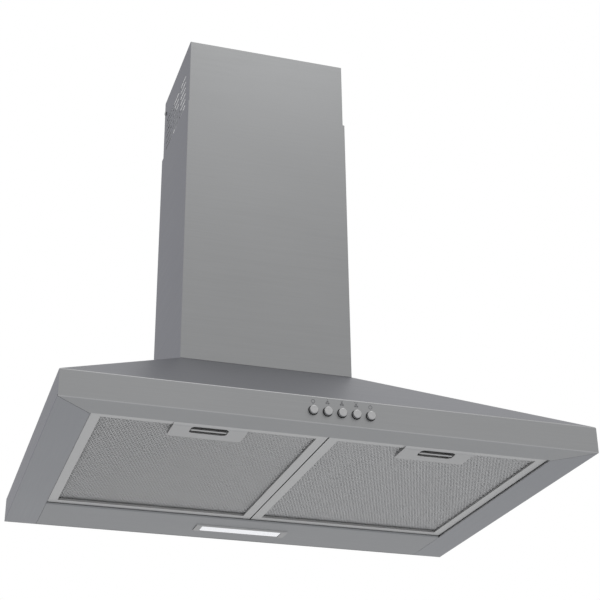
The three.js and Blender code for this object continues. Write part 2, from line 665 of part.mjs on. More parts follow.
/** Sliding latch: a ring with a pull bar across it and a tongue at the front. */
function filterLatch() {
  const windows = FINGER_SLOT.width / 2;
  const barY = FINGER_FRONT + FINGER_SLOT.depth / 2;
  const windowRear = BAY.rear - LATCH.rail;
  const heights = [BAY.floor - 1, BAY.top + 1];
  return middleBlock(BAY.half, [BAY.front, BAY.rear], [BAY.floor, BAY.top])
    .subtract(middleBlock(windows, [BAY.front + LATCH.lip, windowRear], heights))
    .add(middleBlock(windows + 1, [barY - LATCH.bar / 2, barY + LATCH.bar / 2], [BAY.floor, BAY.top]))
    .add(middleBlock(windows - FINGER_SLOT.depth / 2, [barY - LATCH.bar / 2, barY + LATCH.bar / 2],
      [FILTER_RISE - GAP - HANDLE.thick + GAP, BAY.floor + 1]))
    .add(middleBlock(LATCH.tongue / 2, [OPENING.front + GAP, BAY.front + 1],
      [FILTER_RISE + FRAME_SHEET, BAY.top]));
}

// ---------------------------------------------------------------- blower

function scrollPoint(angle, offset) {
  const turn = (angle + TONGUE_ANGLE) / (180 + TONGUE_ANGLE);
  const radius = FAN.radius + SCROLL.start + SCROLL.growth * turn + offset;
  const radians = THREE.MathUtils.degToRad(angle);
  return [FAN.y + radius * Math.cos(radians), FAN_Z - radius * Math.sin(radians)];
}

/** Side outline of the scroll: tongue, growing spiral and a straight run up to the exit. */
function scrollOutline(offset) {
  const steps = 20;
  const spiral = Array.from({ length: steps + 1 }, (_, i) => scrollPoint(
    -TONGUE_ANGLE + i * (180 + TONGUE_ANGLE) / steps, offset));
  const rear = spiral[0][0];
  return outline([[rear, EXIT_TOP], ...spiral, [EXIT.front - offset, EXIT_TOP]]);
}

/** Right half of the scroll; the left one is its mirror image. */
function scrollHalf() {
  const side = SCROLL.halfWidth;
  const outer = alongX(scrollOutline(SCROLL.wall), GAP / 2, BLOWER_HALF);
  const inner = alongX(scrollOutline(0), -1, side);
  const mouth = block([-1, side], [EXIT.front, EXIT.rear], [EXIT_TOP - 1, EXIT_TOP + 1]);
  const lipLength = SCROLL.lip + SCROLL.wall;
  const lip = turned([
    [SCROLL.inlet, 0], [SCROLL.inlet + SCROLL.wall, 0], [SCROLL.inlet + SCROLL.wall, lipLength],
    [SCROLL.inlet, lipLength],
  ]);
  const inlet = bar(SCROLL.inlet, 0, lipLength * 2);
  const earX = [side + SCROLL.wall / 2, BLOWER_HALF + EAR.width];
  const earZ = [DECK_BOTTOM - GAP - EAR.thick, DECK_BOTTOM - GAP];
  const screwHole = bar(EAR_SCREW.shank + EAR_SCREW.play, 0, CANOPY_HEIGHT, 12);
  const ear = (y) => block(earX, around(y, EAR.depth / 2), earZ)
    .subtract(screwHole.translate([BLOWER_HALF + EAR.hole, y, 0]));
  const flange = block([side + SCROLL.wall / 2, BLOWER_HALF + SCROLL_FLANGE], [EXIT.front, EXIT.rear],
    [EXIT_TOP - SCROLL.wall, EXIT_TOP]);
  return outer.subtract(inner).subtract(mouth)
    .subtract(towardsX(inlet, side - lipLength / 2, FAN.y, FAN_Z))
    .add(towardsX(lip, side - SCROLL.lip, FAN.y, FAN_Z))
    .add(union(earRows().map(ear)))
    .add(flange);
}

/** Outline of one forward-curved blade in the plane across the shaft. */
function bladeOutline() {
  const steps = 2;
  const reach = FAN.radius - FAN.bladeRoot - FAN_RING.width / 8;
  const edge = (side) => Array.from({ length: steps + 1 }, (_, i) => {
    const share = i / steps;
    const radius = FAN.bladeRoot + reach * share;
    const angle = BLADE_LEAN * share * share + side * FAN.bladeThick / 2 / radius;
    return [radius * Math.cos(angle), radius * Math.sin(angle)];
  });
  return outline([...edge(-1), ...edge(1).reverse()]);
}

/** Cage of blades between a root ring beside the middle disc and a ring at its open end. */
function impellerCage() {
  const { radius, halfWidth, blades } = FAN;
  const { width, thick } = FAN_RING;
  const root = FAN_DISC / 2 + GAP;
  const blade = raised(bladeOutline(), root + thick / 2, halfWidth - thick / 2);
  const ring = (z) => turned([
    [radius - width, z], [radius, z], [radius, z + thick], [radius - width, z + thick],
  ], blades);
  return towardsX(union([
    ring(root),
    ring(halfWidth - thick),
    ...Array.from({ length: blades }, (_, i) => blade.rotate([0, 0, i * 360 / blades])),
  ]), 0, FAN.y, FAN_Z);
}

/** Middle disc with its hub, between the two cages. */
function impellerDisc() {
  return towardsX(
    bar(FAN.radius, -FAN_DISC / 2, FAN_DISC / 2, FAN.blades)
      .add(bar(FAN_HUB.radius, -FAN_HUB.left, FAN_HUB.right))
      .subtract(bar(SHAFT.radius + GAP, -FAN.halfWidth, FAN.halfWidth, 16)),
    0, FAN.y, FAN_Z);
}

function motorShaft() {
  return towardsX(bar(SHAFT.radius, -SHAFT.left, SHAFT.right, 16), 0, FAN.y, FAN_Z);
}

function impellerNut() {
  const hex = bar(NUT.radius, -FAN_HUB.left - GAP - NUT.thick, -FAN_HUB.left - GAP, 6);
  return towardsX(hex.subtract(bar(SHAFT.radius + GAP, -HOOD_WIDTH, 0, 16)), 0, FAN.y, FAN_Z);
}

function motor() {
  const { radius, left, right, boss, bossLength } = MOTOR;
  const chamfer = 3;
  const bore = SHAFT.radius + PIN_PLAY;
  const end = SHAFT.right + 1;
  return towardsX(turned([
    [bore, left], [radius - chamfer, left], [radius, left + chamfer], [radius, right - chamfer],
    [radius - chamfer, right], [boss, right], [boss, right + bossLength], [0, right + bossLength],
    [0, end], [bore, end],
  ]), 0, FAN.y, FAN_Z);
}

/** Ring round the motor with arms that lie on the scroll's right side plate. */
function motorBracket() {
  const inner = MOTOR.radius + GAP;
  const z0 = BLOWER_HALF + GAP;
  const z1 = z0 + SPIDER.thick;
  const chamferRoom = MOTOR.right - z0;
  const collar = turned([
    [inner, z0 - chamferRoom], [inner + SPIDER.ring, z0 - chamferRoom],
    [inner + SPIDER.ring, z1], [inner, z1],
  ]);
  const armX = [inner + SPIDER.ring / 2, SCROLL.inlet + SPIDER.overlap];
  const arm = block(armX, around(0, SPIDER.arm / 2), [z0, z1]);
  const arms = Array.from({ length: SPIDER.arms }, (_, i) => arm.rotate([0, 0, i * 360 / SPIDER.arms]));
  return towardsX(union([collar, ...arms]), 0, FAN.y, FAN_Z);
}

/** Pan-head screw through the deck into a blower ear. */
function blowerScrew([x, y]) {
  return turned(panHead(EAR_SCREW), 12).translate([x, y, DECK_SEAT]);
}

// ---------------------------------------------------------------- outlet

const FLAP_Z = COLLAR_Z + FLAP.rise;

/** Plate on the blower exit with a round spigot, pin holes and two stops for the flaps. */
function outletCollar() {
  const { radius, wall, height, plate, plateHalf, plateDepth } = COLLAR;
  const inner = radius - wall;
  const base = block([-plateHalf, plateHalf], [-plateDepth, plateDepth], [0, plate]);
  const spigot = bar(radius, 0, height, 32).add(base).subtract(bar(inner, -1, height + 1, 32));
  const pinHole = towardsX(bar(FLAP.pin + PIN_PLAY, -radius - 1, radius + 1, 12), 0, 0, FLAP.rise);
  const stopTop = FLAP.rise - FLAP.thick / 2 - GAP;
  const stopY = [inner - STOP.depth, inner + wall / 2];
  const stop = middleBlock(STOP.width / 2, stopY, [stopTop - STOP.height, stopTop]);
  return spigot.subtract(pinHole.translate([0, FLAP.axis, 0])).subtract(pinHole.translate([0, -FLAP.axis, 0]))
    .add(stop)
    .add(stop.mirror([0, 1, 0]))
    .translate([0, COLLAR_Y, COLLAR_Z]);
}

/** Half-disc on a barrel whose pins run in the collar; side is -1 at the front, 1 at the rear. */
function flap(side) {
  const radius = COLLAR.radius - COLLAR.wall - FLAP.play;
  const chord = Math.sqrt(radius ** 2 - FLAP.axis ** 2);
  const disc = bar(radius, -FLAP.thick / 2, FLAP.thick / 2, 32)
    .intersect(block([-radius, radius], [FLAP.axis, radius + 1], [-FLAP.thick, FLAP.thick]));
  const pinEnd = COLLAR.radius - GAP;
  const barrel = towardsX(bar(FLAP.barrel, -chord + GAP, chord - GAP, 12), 0, FLAP.axis, 0);
  const pin = towardsX(bar(FLAP.pin, -pinEnd, pinEnd, 12), 0, FLAP.axis, 0);
  const rearFlap = union([disc, barrel, pin]);
  const turnedFlap = side > 0 ? rearFlap : rearFlap.mirror([0, 1, 0]);
  return turnedFlap.translate([0, COLLAR_Y, FLAP_Z]);
}

// ---------------------------------------------------------------- electrics on the deck

function terminalBox() {
  const { play, depth, height, wall } = TERMINAL_BOX;
  const top = DECK_SEAT + height;
  const half = SHELF_HALF - play;
  return block(around(-SHELF_X, half), around(COLLAR_Y, depth / 2), [DECK_SEAT, top])
    .subtract(block(
      around(-SHELF_X, half - wall), around(COLLAR_Y, depth / 2 - wall), [DECK_SEAT + wall, top + 1]));
}

function terminalBoxLid() {
  const { play, depth, height, lid } = TERMINAL_BOX;
  const z = DECK_SEAT + height + GAP;
  return block(around(-SHELF_X, SHELF_HALF - play), around(COLLAR_Y, depth / 2), [z, z + lid]);
}

function capacitor() {
  const { play, height, stud, studHeight } = CAPACITOR;
  const radius = SHELF_HALF - play;
  const rim = radius - 2;
  return turned([
    [0, 0], [radius, 0], [radius, height - 2], [rim, height], [stud, height], [stud, height + studHeight],
    [0, height + studHeight],
  ]).translate([SHELF_X, COLLAR_Y, DECK_SEAT]);
}

/** Rubber ring in the deck where the power lead comes up. */
function cableGrommet() {
  const { hole, bore, brim, thick } = GROMMET;
  const neck = hole - GAP;
  const low = DECK_BOTTOM - GAP;
  return turned([
    [bore, low - thick], [neck + brim, low - thick], [neck + brim, low], [neck, low], [neck, DECK_SEAT],
    [neck + brim, DECK_SEAT], [neck + brim, DECK_SEAT + thick], [bore, DECK_SEAT + thick],
  ]).translate([-SHELF_X, GROMMET.y, 0]);
}

// ---------------------------------------------------------------- pieces

addPiece('canopy_front', canopyFront(), STAINLESS);
addPiece('canopy_side_right', canopySide(), STAINLESS);
addPiece('canopy_side_left', mirrored(canopySide()), STAINLESS);
addPiece('canopy_deck', canopyDeck(), STAINLESS);
addPiece('rear_light_panel', rearLightPanel(), STAINLESS);
addPiece('back_panel', backPanel(), STAINLESS);
addPiece('cover_base_frame', coverBaseFrame(), GALVANISED);
addPiece('lower_duct_cover', lowerDuctCover(), STAINLESS);
addPiece('upper_duct_cover', upperDuctCover(), STAINLESS);
addPiece('upper_wall_bracket', upperWallBracket(), GALVANISED);
addPiece('cover_screw_right', coverScrew(), STEEL);
addPiece('cover_screw_left', mirrored(coverScrew()), STEEL);

addPiece('lamp_bezel', lampBezel(), STEEL);
addPiece('lamp_lens', lampLens(), OPAL);
addPiece('led_board', ledBoard(), CIRCUIT_BOARD);
addPiece('led_driver', ledDriver(), WHITE_PLASTIC);

addPiece('switch_block', switchBlock(), BLACK_PLASTIC);
addPiece('switch_bracket', switchBracket(), GALVANISED);
buttonPlaces().forEach((x, i) => addPiece(`button_${i + 1}`, pushButton(x), CHROME));

for (const [side, x] of [['left', -FILTER_X], ['right', FILTER_X]]) {
  addPiece(`filter_frame_${side}`, filterFrame().translate([x, 0, 0]), ALUMINIUM);
  addPiece(`filter_mesh_${side}`, filterMesh().translate([x, 0, 0]), MESH_METAL);
  addPiece(`filter_handle_${side}`, filterHandle().translate([x, 0, 0]), ALUMINIUM);
  addPiece(`filter_latch_${side}`, filterLatch().translate([x, 0, 0]), ALUMINIUM);
}

addPiece('scroll_right', scrollHalf(), GREY_PLASTIC);
addPiece('scroll_left', mirrored(scrollHalf()), GREY_PLASTIC);
addPiece('impeller_disc', impellerDisc(), BLACK_PLASTIC);
addPiece('impeller_cage_right', impellerCage(), BLACK_PLASTIC);
addPiece('impeller_cage_left', mirrored(impellerCage()), BLACK_PLASTIC);
addPiece('motor_shaft', motorShaft(), STEEL);
addPiece('impeller_nut', impellerNut(), STEEL);
addPiece('motor', motor(), STEEL);
addPiece('motor_bracket', motorBracket(), GALVANISED);
earScrewPlaces().forEach((place, i) => addPiece(`blower_screw_${i + 1}`, blowerScrew(place), STEEL));

addPiece('outlet_collar', outletCollar(), WHITE_PLASTIC);
addPiece('flap_front', flap(-1), WHITE_PLASTIC);
addPiece('flap_rear', flap(1), WHITE_PLASTIC);

addPiece('terminal_box', terminalBox(), WHITE_PLASTIC);
addPiece('terminal_box_lid', terminalBoxLid(), WHITE_PLASTIC);
addPiece('capacitor', capacitor(), WHITE_PLASTIC);
addPiece('cable_grommet', cableGrommet(), RUBBER);

hood.position.z = -HANGER.z;

export default hood;
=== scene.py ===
"""Looks of a wall-mounted chimney hood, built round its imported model.

Places are in millimetres, measured from the wall (y = 0) and the hood's underside (z = 0).
"""

from __future__ import annotations

import json
import logging
import math
from dataclasses import dataclass
from enum import Enum
from typing import Callable, Iterable, Self, Sequence

import bmesh
import bpy
from mathutils import Matrix, Vector

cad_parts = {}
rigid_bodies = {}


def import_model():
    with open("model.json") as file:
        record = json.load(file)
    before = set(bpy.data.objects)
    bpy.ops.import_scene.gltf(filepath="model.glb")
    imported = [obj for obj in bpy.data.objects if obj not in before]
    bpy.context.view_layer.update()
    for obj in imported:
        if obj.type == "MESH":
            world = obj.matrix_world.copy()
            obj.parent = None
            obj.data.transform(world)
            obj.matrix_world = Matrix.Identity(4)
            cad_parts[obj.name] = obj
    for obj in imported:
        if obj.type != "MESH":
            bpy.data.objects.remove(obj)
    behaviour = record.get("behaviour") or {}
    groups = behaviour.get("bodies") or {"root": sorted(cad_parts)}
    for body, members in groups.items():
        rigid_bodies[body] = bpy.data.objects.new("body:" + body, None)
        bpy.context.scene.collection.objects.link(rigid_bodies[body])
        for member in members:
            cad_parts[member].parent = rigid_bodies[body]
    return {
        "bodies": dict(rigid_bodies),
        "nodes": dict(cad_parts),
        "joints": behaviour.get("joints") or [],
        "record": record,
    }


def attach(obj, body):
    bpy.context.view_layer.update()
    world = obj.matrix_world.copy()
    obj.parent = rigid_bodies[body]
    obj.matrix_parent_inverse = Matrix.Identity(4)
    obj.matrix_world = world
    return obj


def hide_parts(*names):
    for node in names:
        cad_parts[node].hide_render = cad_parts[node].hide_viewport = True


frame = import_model()

LOG = logging.getLogger("hood")

MM = 0.001
HANG = 140.0  # the origin lies this far above the underside
THIN = 0.75  # sheet between its rounded folds
GAP = 0.3
FACING = 0.9  # least part of a normal along the axis that its face looks along

HOOD_WIDTH = 600.0
HOOD_DEPTH = 450.0
LIP = 30.0
CANOPY_TOP = 180.0
COVER_WIDTH = 230.0
COVER_DEPTH = 170.0
OPENING_HALF = 260.0
OPENING_FRONT = -412.0
OPENING_REAR = -91.0
SHELL_REAR = -1.3

Span = tuple[float, float]  # start and end
Pair = tuple[float, float]
Triple = tuple[float, float, float]
Colour = Triple
Material = bpy.types.Material
Socket = bpy.types.NodeSocket
Inputs = dict[str | int, object]  # sockets or values, by the input's name or number
Test = Callable[[Vector, Vector], bool]  # on a face's centre and normal, or on an edge's two ends


class Axis(Enum):
    """Axes along which a piece lies."""

    X = 0
    Y = 1
    Z = 2


class Grain(Enum):
    """Ways in which the brush lines run, by the axes that they cross."""

    ACROSS = (0, 1, 1)
    INWARDS = (1, 0, 1)
    LEVEL = (0, 0, 1)


def place(x: float, y: float, z: float) -> Vector:
    """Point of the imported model's frame, in metres."""
    return Vector((x, y, z - HANG)) * MM


def middle(span: Span) -> float:
    """Middle of a span."""
    return (span[0] + span[1]) / 2


def around(centre: float, half: float) -> Span:
    """Span that reaches half a width to either side of a centre."""
    return centre - half, centre + half


def near(value: float, target: float) -> bool:
    """Whether two lengths agree to a small slack."""
    return abs(value - target) < 0.05


def facing(axis: Axis, *ways: int) -> Test:
    """Test for faces that look one of the ways (1 or -1) along an axis."""
    return lambda centre, normal: any(way * normal[axis.value] > FACING for way in ways)


def longer(axis: Axis, length: float) -> Test:
    """Test for edges that reach further than a length along an axis."""
    return lambda a, b: abs(a[axis.value] - b[axis.value]) > length


def lying(axis: Axis, at: float) -> Test:
    """Test for edges whose two ends lie at a place on an axis."""
    return lambda a, b: near(a[axis.value], at) and near(b[axis.value], at)


# --- finishes


class Tree:
    """Node tree that is being wired up."""

    def __init__(self, tree: bpy.types.NodeTree) -> None:
        """Takes over a tree."""
        self.nodes, self.links = tree.nodes, tree.links

    def add(self, kind: str, inputs: Inputs | None = None, **settings: object) -> bpy.types.Node:
        """Adds a node with its attributes and inputs."""
        node = self.nodes.new(kind)
        for key, value in settings.items():
            setattr(node, key, value)
        return self.feed(node, inputs or {})

    def feed(self, node: bpy.types.Node, inputs: Inputs) -> bpy.types.Node:
        """Links each input of a node to a socket, or sets its value.

        Args:
            node: Node to feed.
            inputs: Sockets or values, by the input's name or number.

        Returns:
            The node.
        """
        for key, value in inputs.items():
            if isinstance(value, Socket):
                self.links.new(value, node.inputs[key])
            else:
                node.inputs[key].default_value = value
        return node


class Graph(Tree):
    """Node tree of one material, built up from its principled shader."""

    def __init__(self, name: str, colour: Colour, metallic: float, roughness: float) -> None:
        """Starts a material.

        Args:
            name: Name of the material.
            colour: Linear base colour.
            metallic: 1 for bare metal, 0 for anything else.
            roughness: Roughness before any variation.
        """
        self.colour, self.roughness = colour, roughness
        self.material = bpy.data.materials.new(name)
        self.material.use_nodes = True
        super().__init__(self.material.node_tree)
        self.shade({"Base Color": (*colour, 1), "Metallic": metallic, "Roughness": roughness})

    def shade(self, inputs: Inputs) -> None:
        """Links or sets inputs of the shader."""
        self.feed(self.nodes["Principled BSDF"], inputs)

    def coordinates(self, scale: Sequence[float]) -> Socket:
        """Object coordinates, scaled to cycles to the metre along x, y and z."""
        source = self.add("ShaderNodeTexCoord").outputs["Object"]
        mapping = self.add("ShaderNodeMapping", {"Vector": source, "Scale": scale})
        return mapping.outputs["Vector"]

    def noise(self, scale: Sequence[float], detail: float = 3, rough: float = 0.6) -> Socket:
        """Noise with a pitch of its own on each axis, in cycles to the metre."""
        inputs = {"Vector": self.coordinates(scale), "Scale": 1, "Detail": detail,
                  "Roughness": rough}
        return self.add("ShaderNodeTexNoise", inputs).outputs["Fac"]

    def spread(self, source: Socket, low: float = 0, high: float = 1,
               window: Span = (0.3, 0.7)) -> Socket:
        """Maps the window of a factor that is used to a range of values."""
        inputs = {"Value": source, "From Min": window[0], "From Max": window[1], "To Min": low,
                  "To Max": high}
        return self.add("ShaderNodeMapRange", inputs).outputs["Result"]

    def tint(self, factor: Socket, dark: float, light: float) -> None:
        """Runs the base colour from a darker to a lighter share of itself along a factor."""
        first, second, result = 6, 7, 2  # the node's sockets for colours
        inputs: Inputs = {"Factor": factor}
        for socket, share in ((first, dark), (second, light)):
            inputs[socket] = (*(min(1.0, channel * share) for channel in self.colour), 1)
        node = self.add("ShaderNodeMix", inputs, data_type="RGBA")
        self.shade({"Base Color": node.outputs[result]})

    def roughen(self, factor: Socket, less: float, more: float, window: Span = (0.3, 0.7)) -> None:
        """Runs the roughness from less to more than its base value along a factor."""
        swing = self.spread(factor, self.roughness - less, self.roughness + more, window)
        self.shade({"Roughness": swing})

    def bump(self, height: Socket, strength: float, depth: float) -> None:
        """Raises the surface by a share, 0 to 1, of a depth in millimetres."""
        inputs = {"Height": height, "Strength": strength, "Distance": depth * MM}
        self.shade({"Normal": self.add("ShaderNodeBump", inputs).outputs["Normal"]})


@dataclass(frozen=True)
class Brushed:
    """Brushed sheet, with fine lines along one axis and faint uneven patches."""

    name: str
    colour: Colour
    lines: Grain
    roughness: float = 0.36
    edge_tint: float = 0.8
    contrast: float = 0.05
    pitch: float = 700.0  # lines to the metre
    run: float = 9.0  # ends of lines to the metre
    patch_pitch: float = 7.0
    patch_share: float = 0.35
    window: Span = (0.4, 0.95)
    swing: float = 0.05  # of the roughness

    def make(self) -> Material:
        """Material with its grain."""
        graph = Graph(self.name, self.colour, 1, self.roughness)
        graph.shade({"Specular Tint": (*[self.edge_tint] * 3, 1)})
        scale = [self.pitch if crossed else self.run for crossed in self.lines.value]
        grain = graph.noise(scale, detail=4, rough=0.75)
        patches = graph.noise([self.patch_pitch] * 3, detail=2)
        mixed = graph.add("ShaderNodeMath", {0: patches, 1: self.patch_share, 2: grain},
                          operation="MULTIPLY_ADD")
        graph.tint(graph.spread(mixed.outputs[0], window=self.window), 1 - self.contrast,
                   1 + self.contrast)
        graph.roughen(grain, self.swing, self.swing)
        graph.bump(grain, 0.25, 0.02)
        return graph.material


@dataclass(frozen=True)
class Spangled:
    """Zinc-coated sheet with its crystals."""

    name: str
    colour: Colour
    roughness: float = 0.5
    swing: float = 0.1
    crystals: float = 160.0  # to the metre

    def make(self) -> Material:
        """Material with its spangle."""
        graph = Graph(self.name, self.colour, 1, self.roughness)
        pitch = graph.coordinates([self.crystals] * 3)
        cells = graph.add("ShaderNodeTexVoronoi", {"Vector": pitch, "Scale": 1})
        split = graph.add("ShaderNodeSeparateColor", {"Color": cells.outputs["Color"]})
        graph.tint(split.outputs["Red"], 0.82, 1.08)
        graph.roughen(split.outputs["Green"], self.swing, self.swing, (0, 1))
        graph.bump(graph.noise([900, 900, 900]), 0.2, 0.02)
        return graph.material


@dataclass(frozen=True)
class Moulded:
    """Moulded or painted material with a fine texture."""

    name: str
    colour: Colour
    roughness: float = 0.45
    pitch: float = 1500.0
    relief: float = 0.03
    clouding: float = 0.05

    def make(self) -> Material:
        """Material with its texture."""
        graph = Graph(self.name, self.colour, 0, self.roughness)
        grain = graph.noise([self.pitch] * 3)
        clouds = graph.noise([30, 30, 30], detail=2)
        graph.tint(graph.spread(clouds), 1 - self.clouding, 1 + self.clouding / 2)
        graph.roughen(grain, 0.06, 0.06)
        graph.bump(grain, 0.3, self.relief)
        return graph.material


@dataclass(frozen=True)
class Plated:
    """Bright plated or turned metal with faint wiping marks."""

    name: str
    colour: Colour
    roughness: float = 0.18

    def make(self) -> Material:
        """Material with its marks."""
        graph = Graph(self.name, self.colour, 1, self.roughness)
        marks = graph.noise([400, 400, 400], detail=2)
        graph.tint(graph.spread(marks), 0.94, 1.02)
        graph.roughen(marks, 0.05, 0.08)
        graph.bump(marks, 0.1, 0.02)
        return graph.material


FINISHES: dict[str, Brushed | Spangled | Moulded | Plated] = {
    "stainless": Brushed("steel_brushed_across", (0.274, 0.277, 0.281), Grain.ACROSS),
    "inwards": Brushed("steel_brushed_inwards", (0.243, 0.248, 0.262), Grain.INWARDS),
    "rear": Brushed("steel_brushed_rear", (0.25, 0.254, 0.262), Grain.ACROSS),
    # Darker copy of the stainless steel for the rear strip's rounded front fold: painted shade.
    "crease": Brushed("steel_brushed_crease", (0.225, 0.229, 0.235), Grain.ACROSS, 0.42),
    "level": Brushed("steel_brushed_level", (0.248, 0.251, 0.254), Grain.LEVEL),
    # Darker, bluer and rougher copy of the stainless steel for the canopy's front slope: painted
    # shade.
    "slope": Brushed("steel_brushed_slope", (0.263, 0.267, 0.288), Grain.LEVEL, 0.44, 0.64),
    # Brighter copy of the stainless steel: a painted highlight along the lip's front folds, and
    # painted light on the rim walls round the filters.
    "folded": Brushed("steel_folded_edge", (0.36, 0.362, 0.366), Grain.LEVEL, 0.3),
    # Darker, bluer copy of the stainless steel for faces that look sideways: painted shade.
    "flank": Brushed("steel_brushed_flank", (0.234, 0.238, 0.268), Grain.LEVEL, edge_tint=0.55),
    "filter_aluminium": Brushed("aluminium_rolled", (0.44, 0.44, 0.438), Grain.ACROSS, 0.42,
                                contrast=0.03),
    "handle": Brushed("aluminium_pressed", (0.39, 0.39, 0.39), Grain.ACROSS, 0.4, contrast=0.02),
    "filter_mesh": Plated("aluminium_strands", (0.45, 0.45, 0.45), 0.45),
    "galvanised": Spangled("zinc_coated", (0.36, 0.37, 0.38)),
    "steel": Plated("turned_steel", (0.3, 0.305, 0.31), 0.3),
    "lamp_frame": Brushed("lamp_frame_satin", (0.33, 0.33, 0.33), Grain.ACROSS, 0.34),
    "opal": Moulded("opal_diffuser", (0.95, 0.95, 0.965), 0.3, relief=0.005, clouding=0.01),
    "circuit_board": Moulded("board_lacquer", (0.86, 0.86, 0.82), 0.35),
    "white_plastic": Moulded("moulded_white", (0.76, 0.76, 0.73)),
    "black_plastic": Moulded("moulded_black", (0.022, 0.022, 0.023)),
    "grey_plastic": Moulded("moulded_grey", (0.075, 0.08, 0.085), 0.5),
    "button_chrome": Plated("button_plating", (0.4, 0.4, 0.403), 0.2),
    "rubber": Moulded("soft_rubber", (0.014, 0.014, 0.014), 0.75, relief=0.06),
    "ink": Moulded("printed_ink", (0.11, 0.11, 0.115), 0.5),
    "floor": Moulded("floor_paint", (0.9, 0.9, 0.9), 0.7, relief=0, clouding=0),
}
Finishes = dict[str, Material]  # by the keys of FINISHES, which hold every slot


# --- shaping


class Workpiece:
    """Mesh under way: a primitive at its place, shaped in edit mode and by applied modifiers."""

    def __init__(self, name: str) -> None:
        """Takes over the primitive that was just added, and names it."""
        self.object = bpy.context.active_object
        self.rename(name)
        bpy.ops.object.transform_apply()

    def rename(self, name: str) -> Self:
        """Names the object and its mesh."""
        self.object.name = self.object.data.name = name
        return self

    @classmethod
    def box(cls, name: str, xs: Span, ys: Span, zs: Span) -> Self:
        """Cube stretched between limits on each axis."""
        deselect()
        size = [(high - low) * MM for low, high in (xs, ys, zs)]
        bpy.ops.mesh.primitive_cube_add(
            size=1, location=place(middle(xs), middle(ys), middle(zs)), scale=size)
        return cls(name)

    @classmethod
    def rod(cls, name: str, radius: float, span: Span, axis: Axis, at: Sequence[float],
            steps: int = 48) -> Self:
        """Round bar along an axis.

        Args:
            name: Name of the piece.
            radius: Radius of the bar.
            span: Start and end along the axis, from the centre.
            axis: Direction of the bar.
            at: Centre line's point, x, y and z.
            steps: Facets round the bar.

        Returns:
            The new piece.
        """
        deselect()
        centre = list(at)
        centre[axis.value] += middle(span)
        turn = {Axis.X: (0, math.pi / 2, 0), Axis.Y: (math.pi / 2, 0, 0), Axis.Z: (0, 0, 0)}[axis]
        bpy.ops.mesh.primitive_cylinder_add(
            vertices=steps, radius=radius * MM, depth=(span[1] - span[0]) * MM,
            location=place(*centre), rotation=turn)
        return cls(name)

    @classmethod
    def grid(cls, name: str, cells: tuple[int, int], size: Span, at: Sequence[float]) -> Self:
        """Flat grid turned 45 degrees and squeezed, so that its cells are diamonds.

        Args:
            name: Name of the piece.
            cells: Cells along each side of the unturned grid.
            size: Width in x and y of one diamond.
            at: Centre, x, y and z.

        Returns:
            The new piece.
        """
        deselect()
        bpy.ops.mesh.primitive_grid_add(
            x_subdivisions=cells[0], y_subdivisions=cells[1], size=cells[0] * math.sqrt(0.5),
            rotation=(0, 0, math.pi / 4))
        piece = cls(name)
        piece.object.scale = (size[0] * MM, size[1] * MM, 1)
        piece.object.location = place(*at)
        bpy.ops.object.transform_apply()
        return piece

    def ready(self, mode: str = "OBJECT") -> None:
        """Makes the piece the active one, in a mode."""
        deselect()
        self.object.select_set(True)
        bpy.context.view_layer.objects.active = self.object
        if mode == "EDIT":
            bpy.ops.object.mode_set(mode="EDIT")

    def _pick(self, kind: str,
              keep: Callable[[bmesh.types.BMFace | bmesh.types.BMEdge], bool]) -> Self:
        """Selects the faces or edges that pass a test."""
        self.ready("EDIT")
        bpy.ops.mesh.select_mode(type=kind)
        bpy.ops.mesh.select_all(action="DESELECT")
        mesh = bmesh.from_edit_mesh(self.object.data)
        chosen = [item for item in (mesh.faces if kind == "FACE" else mesh.edges) if keep(item)]
        for item in chosen:
            item.select_set(True)
        mesh.select_flush_mode()
        bmesh.update_edit_mesh(self.object.data)
        if not chosen:
            raise ValueError(f"nothing was picked on {self.object.name}")
        return self

    def faces(self, test: Test) -> Self:
        """Selects faces by centre in millimetres and normal."""
        return self._pick(
            "FACE", lambda face: test(local(face.calc_center_median_weighted()), face.normal))

    def edges(self, test: Test) -> Self:
        """Selects edges by their two ends in millimetres."""
        return self._pick("EDGE", lambda edge: test(*(local(vert.co) for vert in edge.verts)))

    def folds(self, test: Test) -> Self:
        """Selects the edges between two faces that pass a test and aren't flat."""
        return self._pick("EDGE", lambda edge: edge.is_manifold and edge.calc_face_angle(0) > 0.1
                          and test(*(local(vert.co) for vert in edge.verts)))

    def everything(self) -> Self:
        """Selects the whole mesh."""
        self.ready("EDIT")
        bpy.ops.mesh.select_all(action="SELECT")
        return self

    def extrude(self, x: float, y: float, z: float) -> Self:
        """Extrudes the selection and moves it."""
        bpy.ops.mesh.extrude_region_move(TRANSFORM_OT_translate={"value": Vector((x, y, z)) * MM})
        return self

    def move(self, x: float, y: float, z: float) -> Self:
        """Moves the selection."""
        bpy.ops.transform.translate(value=Vector((x, y, z)) * MM)
        return self

    def scale(self, factors: Sequence[float], centre: Sequence[float]) -> Self:
        """Scales the selection from a centre."""
        bpy.ops.transform.resize(value=factors, center_override=place(*centre))
        return self

    def inset(self, thickness: float, depth: float = 0) -> Self:
        """Insets the selected faces, and sinks or raises the inner ones."""
        bpy.ops.mesh.inset(thickness=thickness * MM, depth=depth * MM)
        return self

    def bevel(self, width: float, steps: int = 3) -> Self:
        """Rounds the selected edges."""
        bpy.ops.mesh.bevel(offset=width * MM, segments=steps, clamp_overlap=True)
        return self

    def remove(self) -> Self:
        """Deletes the selected faces."""
        bpy.ops.mesh.delete(type="FACE")
        return self

